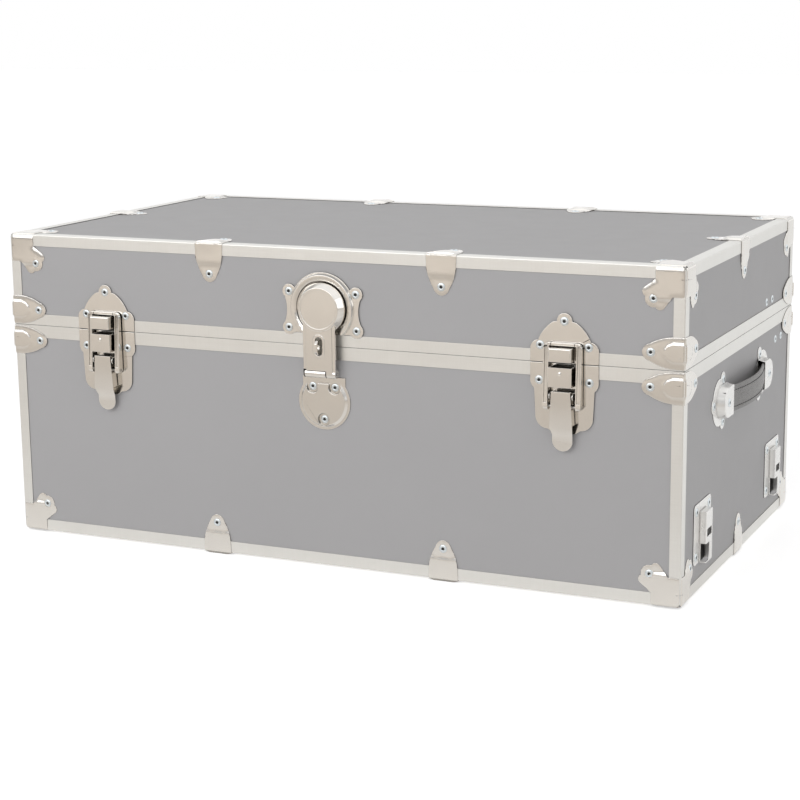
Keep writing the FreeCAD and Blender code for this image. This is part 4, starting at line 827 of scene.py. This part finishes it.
def stitches(name, side, middle, inner, mouth, bow):
    """Two rows of short thread capsules on the strap's outer face, each along the strap's slope.

    A capsule is an ellipsoid: circles whose radius follows the sine of the angle from end to end."""
    rings, sides = 7, 6
    turn = np.linspace(0, math.pi, rings)
    around = np.linspace(0, 2 * math.pi, sides, endpoint=False)
    radius = np.maximum(np.sin(turn), 0.02) ** 0.6 * stitch_radius
    length = -np.cos(turn) * stitch_length / 2
    ring_x = (radius[:, None] * np.cos(around)[None]).reshape(-1)
    ring_z = (radius[:, None] * np.sin(around)[None]).reshape(-1)
    points = np.stack([ring_x, np.repeat(length, sides), ring_z], axis=-1)
    faces = grid_faces(rings, sides)
    places_along = np.arange(-mouth + stitch_pitch / 2, mouth, stitch_pitch)
    back = strap_run(places_along, inner, mouth, bow)
    step = 0.1 * mm
    slope = (strap_run(places_along + step, inner, mouth, bow) - back) / step * side
    tilt = 1 / np.sqrt(1 + slope ** 2)
    zero = np.zeros_like(slope)
    one = np.ones_like(slope)
    turns = np.stack([np.stack([tilt, slope * tilt, zero], -1),
                      np.stack([-slope * tilt, tilt, zero], -1),
                      np.stack([zero, zero, one], -1)], axis=-2)
    surface = side * (back + strap_thickness - stitch_sunk)
    places = np.concatenate([
        np.stack([surface, middle[1] + places_along, np.full_like(surface, middle[2] + height)], -1)
        for height in (-strap_grooves, strap_grooves)])
    every, quads = copies(points, faces, np.concatenate([turns, turns]), places)
    new_piece(name, every, quads.tolist(), [thread], "base")


def hasp_head_skirt():
    """Foot of the hasp's round head: its side wall carried on down to just above the lock plate.

    A four-cornered section is turned about the head's middle, over the part that the strap leaves free."""
    ring_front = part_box("lock_plate")[0].y
    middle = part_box("hasp")[1].z - hasp_head_radius
    turn = np.linspace(*skirt_arc, skirt_steps)
    x = np.cos(turn)[:, None] * skirt_section[None, :, 0]
    z = middle + np.sin(turn)[:, None] * skirt_section[None, :, 0]
    y = np.broadcast_to(ring_front + skirt_height - skirt_section[:, 1], x.shape)
    points = np.stack([x, y, z], axis=-1).reshape(-1, 3)
    ends = np.array([[3, 2, 1, 0], [0, 1, 2, 3]]) + np.array([[0], [len(points) - 4]])
    faces = np.concatenate([grid_faces(len(turn), 4), ends])
    new_piece("hasp_head_skirt", points, faces.tolist(), [nickel], "hasp", smooth=False)


def wheel_pockets():
    """Insides of the wheel plates' boxes, which get painted shade."""
    low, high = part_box("wheel_plates")
    return [((high.x - wheel_box_depth, y - wheel_box_half, low.z),
             (high.x - sheet, y + wheel_box_half, low.z + wheel_box_height))
            for y in (low.y + wheel_box_inset, high.y - wheel_box_inset)]


def keeper_hollow(side):
    """Inside of a latch keeper's box, behind its front wall, which gets painted shade."""
    low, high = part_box("latch_keeper_" + side)
    x = (low.x + high.x) / 2
    return ((x - keeper_box_half, low.y + sheet, low.z + keeper_box_foot),
            (x + keeper_box_half, low.y + keeper_box_depth, low.z + keeper_box_top))


def cap_mouths(side):
    """Insides of a handle's two caps, which get painted shade."""
    low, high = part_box("handle_caps_" + side)
    y = (low.y + high.y) / 2
    z = (low.z + high.z) / 2
    return [((low.x + cap_wall, y + start, z - cap_mouth_half),
             (high.x - cap_wall, y + end, z + cap_mouth_half))
            for start, end in ((cap_mouth_start, cap_mouth_end), (-cap_mouth_end, -cap_mouth_start))]


def dress_case():
    """Panels, edging and rails."""
    for node in nodes:
        if node.endswith("_panel"):
            dress(node, skin)
    for node in ("base_bottom_edging", "base_upright_edging", "lid_top_edging", "lid_upright_edging"):
        pressed(node, edging, edging_round, fold=edging_fold, corner=edging_corner)
    for node in ("base_grooved_rail", "lid_tongued_rail"):
        pressed(node, covered_edging, edging_round)


def dress_hardware():
    """Corner caps, clamps, hinges, handle caps and wheel plates, then the latches, the lock and the stay."""
    for half in ("base", "lid"):
        for kind, pillow in pillows.items():
            pressed(half + "_" + kind, nickel, edging_round, pillow=pillow)
    for node in ("hinge_base_leaves", "hinge_lid_leaves"):
        pressed(node, nickel)
    pressed("wheel_plates", wheel_nickel)
    for side in ("left", "right"):
        pressed("handle_caps_" + side, cap_nickel[side], cap_round)
        pressed("latch_keeper_" + side, keeper_nickel[side], latch_round)
        pressed("latch_plate_" + side, covered_nickel, latch_round)
        for kind in ("lever", "bail"):
            pressed("latch_" + kind + "_" + side, nickel, lever_round)
        for kind in ("lever_pin", "bail_pin"):
            dress("latch_" + kind + "_" + side, steel)
    pressed("lock_plate", covered_nickel, latch_round)
    for node in ("hasp", "hasp_base_plate", "padlock_staple"):
        pressed(node, nickel, latch_round)
    for node in ("hasp_pin", "hinge_pins"):
        dress(node, steel)
    for node in ("stay_base_bracket", "stay_lid_bracket", "stay_lower_arm", "stay_upper_arm"):
        pressed(node, steel, stay_round)
    hasp_head_skirt()
    tubular_rivets("base_rivets", "base")
    tubular_rivets("lid_rivets", "lid")


def set_camera():
    """Camera where the photograph's was, with its roll."""
    level = math.cos(view_elevation)
    back = Vector((math.sin(view_azimuth) * level, -math.cos(view_azimuth) * level,
                   math.sin(view_elevation)))
    right = (-back).cross(Vector((0, 0, 1))).normalized()
    up = right.cross(-back)
    rolled_right = math.cos(view_roll) * right + math.sin(view_roll) * up
    rolled_up = -math.sin(view_roll) * right + math.cos(view_roll) * up
    data = bpy.data.cameras.new("camera")
    data.lens = view_lens
    data.sensor_width = view_sensor
    data.clip_end = 50.0
    camera = bpy.data.objects.new("camera", data)
    turn = Matrix((rolled_right, rolled_up, back)).transposed()
    camera.matrix_world = Matrix.Translation(view_place) @ turn.to_4x4()
    bpy.context.scene.collection.objects.link(camera)
    bpy.context.scene.camera = camera


def set_floor():
    """Plain pale floor that takes the chest's shadow; in gloss it is darker in front of the chest."""
    half = 12.0
    front, back = -0.9, 0.1
    mesh = bpy.data.meshes.new("floor")
    corners = [(-half, -half, 0), (half, -half, 0), (half, half, 0), (-half, half, 0)]
    mesh.from_pydata(corners, [], [(0, 1, 2, 3)])
    tree = Tree("pale_floor")
    path = tree.add("ShaderNodeLightPath").outputs
    y = tree.add("ShaderNodeSeparateXYZ", {0: tree.place}).outputs["Y"]
    glow = tree.math("ADD", tree.math("MULTIPLY", path["Is Camera Ray"], 0.55),
                     tree.math("MULTIPLY", path["Is Glossy Ray"], tree.ramp(y, 0.0, 0.45, front, back)))
    sheen = tree.mix(tree.ramp(y, 0.0, 1.0, front, back), (0.78, 0.71, 0.635), (0.82, 0.82, 0.81))
    colour = tree.mix(path["Is Glossy Ray"], (0.86, 0.86, 0.86), sheen)
    mesh.materials.append(tree.finish(Base_Color=colour, Roughness=0.9,
                                      Emission_Color=white, Emission_Strength=glow))
    floor = bpy.data.objects.new("floor", mesh)
    bpy.context.scene.collection.objects.link(floor)


def set_world():
    """Soft studio surround: plain light for the surfaces, white to the eye, and banded for gloss."""
    tree = Tree("studio", world=True)
    bpy.context.scene.world = tree.owner
    axes = tree.add("ShaderNodeSeparateXYZ", {0: tree.coordinates["Generated"]}).outputs
    bands = tree.add("ShaderNodeValToRGB", {"Fac": tree.ramp(axes["Z"], 0.0, 1.0, -1.0)})
    stops = bands.color_ramp.elements
    stops[0].color = (0.9, 0.9, 0.9, 1)
    stops[1].color = (0.85, 0.85, 0.85, 1)
    for position, value in ((0.47, 0.95), (0.56, 0.80), (0.62, 0.55), (0.70, 0.85), (0.85, 1.0)):
        stops.new(position).color = (value, value, value, 1)
    plain = tree.add("ShaderNodeBackground", {"Color": white, "Strength": tree.ramp(axes["Z"], 0.69, 0.38)})
    gloss = tree.add("ShaderNodeBackground", {"Color": bands.outputs["Color"],
                                              "Strength": tree.ramp(axes["Y"], 0.64, 1.3, -0.9, 0.3)})
    seen = tree.add("ShaderNodeBackground", {"Color": white, "Strength": 1.0})
    path = tree.add("ShaderNodeLightPath").outputs
    lit = tree.add("ShaderNodeMixShader", {0: path["Is Glossy Ray"], 1: plain.outputs[0],
                                           2: gloss.outputs[0]})
    whole = tree.add("ShaderNodeMixShader", {0: path["Is Camera Ray"], 1: lit.outputs[0],
                                             2: seen.outputs[0]})
    tree.add("ShaderNodeOutputWorld", {"Surface": whole.outputs[0]})


def softbox(name, place, target, size, energy):
    """Rectangular area lamp that faces a point."""
    data = bpy.data.lights.new(name, "AREA")
    data.shape = "RECTANGLE"
    data.size, data.size_y = size
    data.energy = energy
    lamp = bpy.data.objects.new(name, data)
    lamp.location = place
    lamp.rotation_euler = (Vector(target) - Vector(place)).to_track_quat("-Z", "Y").to_euler()
    bpy.context.scene.collection.objects.link(lamp)


def set_lights():
    """Large softboxes: overhead, right of the chest, and one in front."""
    softbox("overhead", (0.3, -0.4, 2.6), (0, 0, 0.2), (2.6, 1.8), 1.5)
    softbox("right", (2.6, -0.6, 1.1), (0.3, 0, 0.2), (1.8, 1.6), 7)
    softbox("front", (-0.9, -2.8, 1.5), (0, 0, 0.2), (3.4, 2.4), 39)


skin = grey_skin_on_plywood()
edging = satin_edging()
covered_edging = satin_edging("rail_edging", covered=True)
nickel = pressed_nickel()
covered_nickel = pressed_nickel("covered_nickel", covered=True)
wheel_nickel = pressed_nickel("wheel_plate_nickel", wheel_pockets(), bright=True)
keeper_nickel = {}
cap_nickel = {}
for side in ("left", "right"):
    keeper_nickel[side] = pressed_nickel("keeper_nickel_" + side, [keeper_hollow(side)])
    cap_nickel[side] = pressed_nickel("handle_cap_nickel_" + side, cap_mouths(side), bright=True)
zinc = zinc_rivet()
hollow_black = rivet_hollow()
steel = plain_steel()
leather = grey_leather()
thread = waxed_thread()

dress_case()
dress_hardware()
for side in ("left", "right"):
    leather_strap("leather_strap_" + side, "handle_strap_" + side)
set_camera()
set_floor()
set_world()
set_lights()
bpy.context.scene.view_settings.view_transform = "Standard"
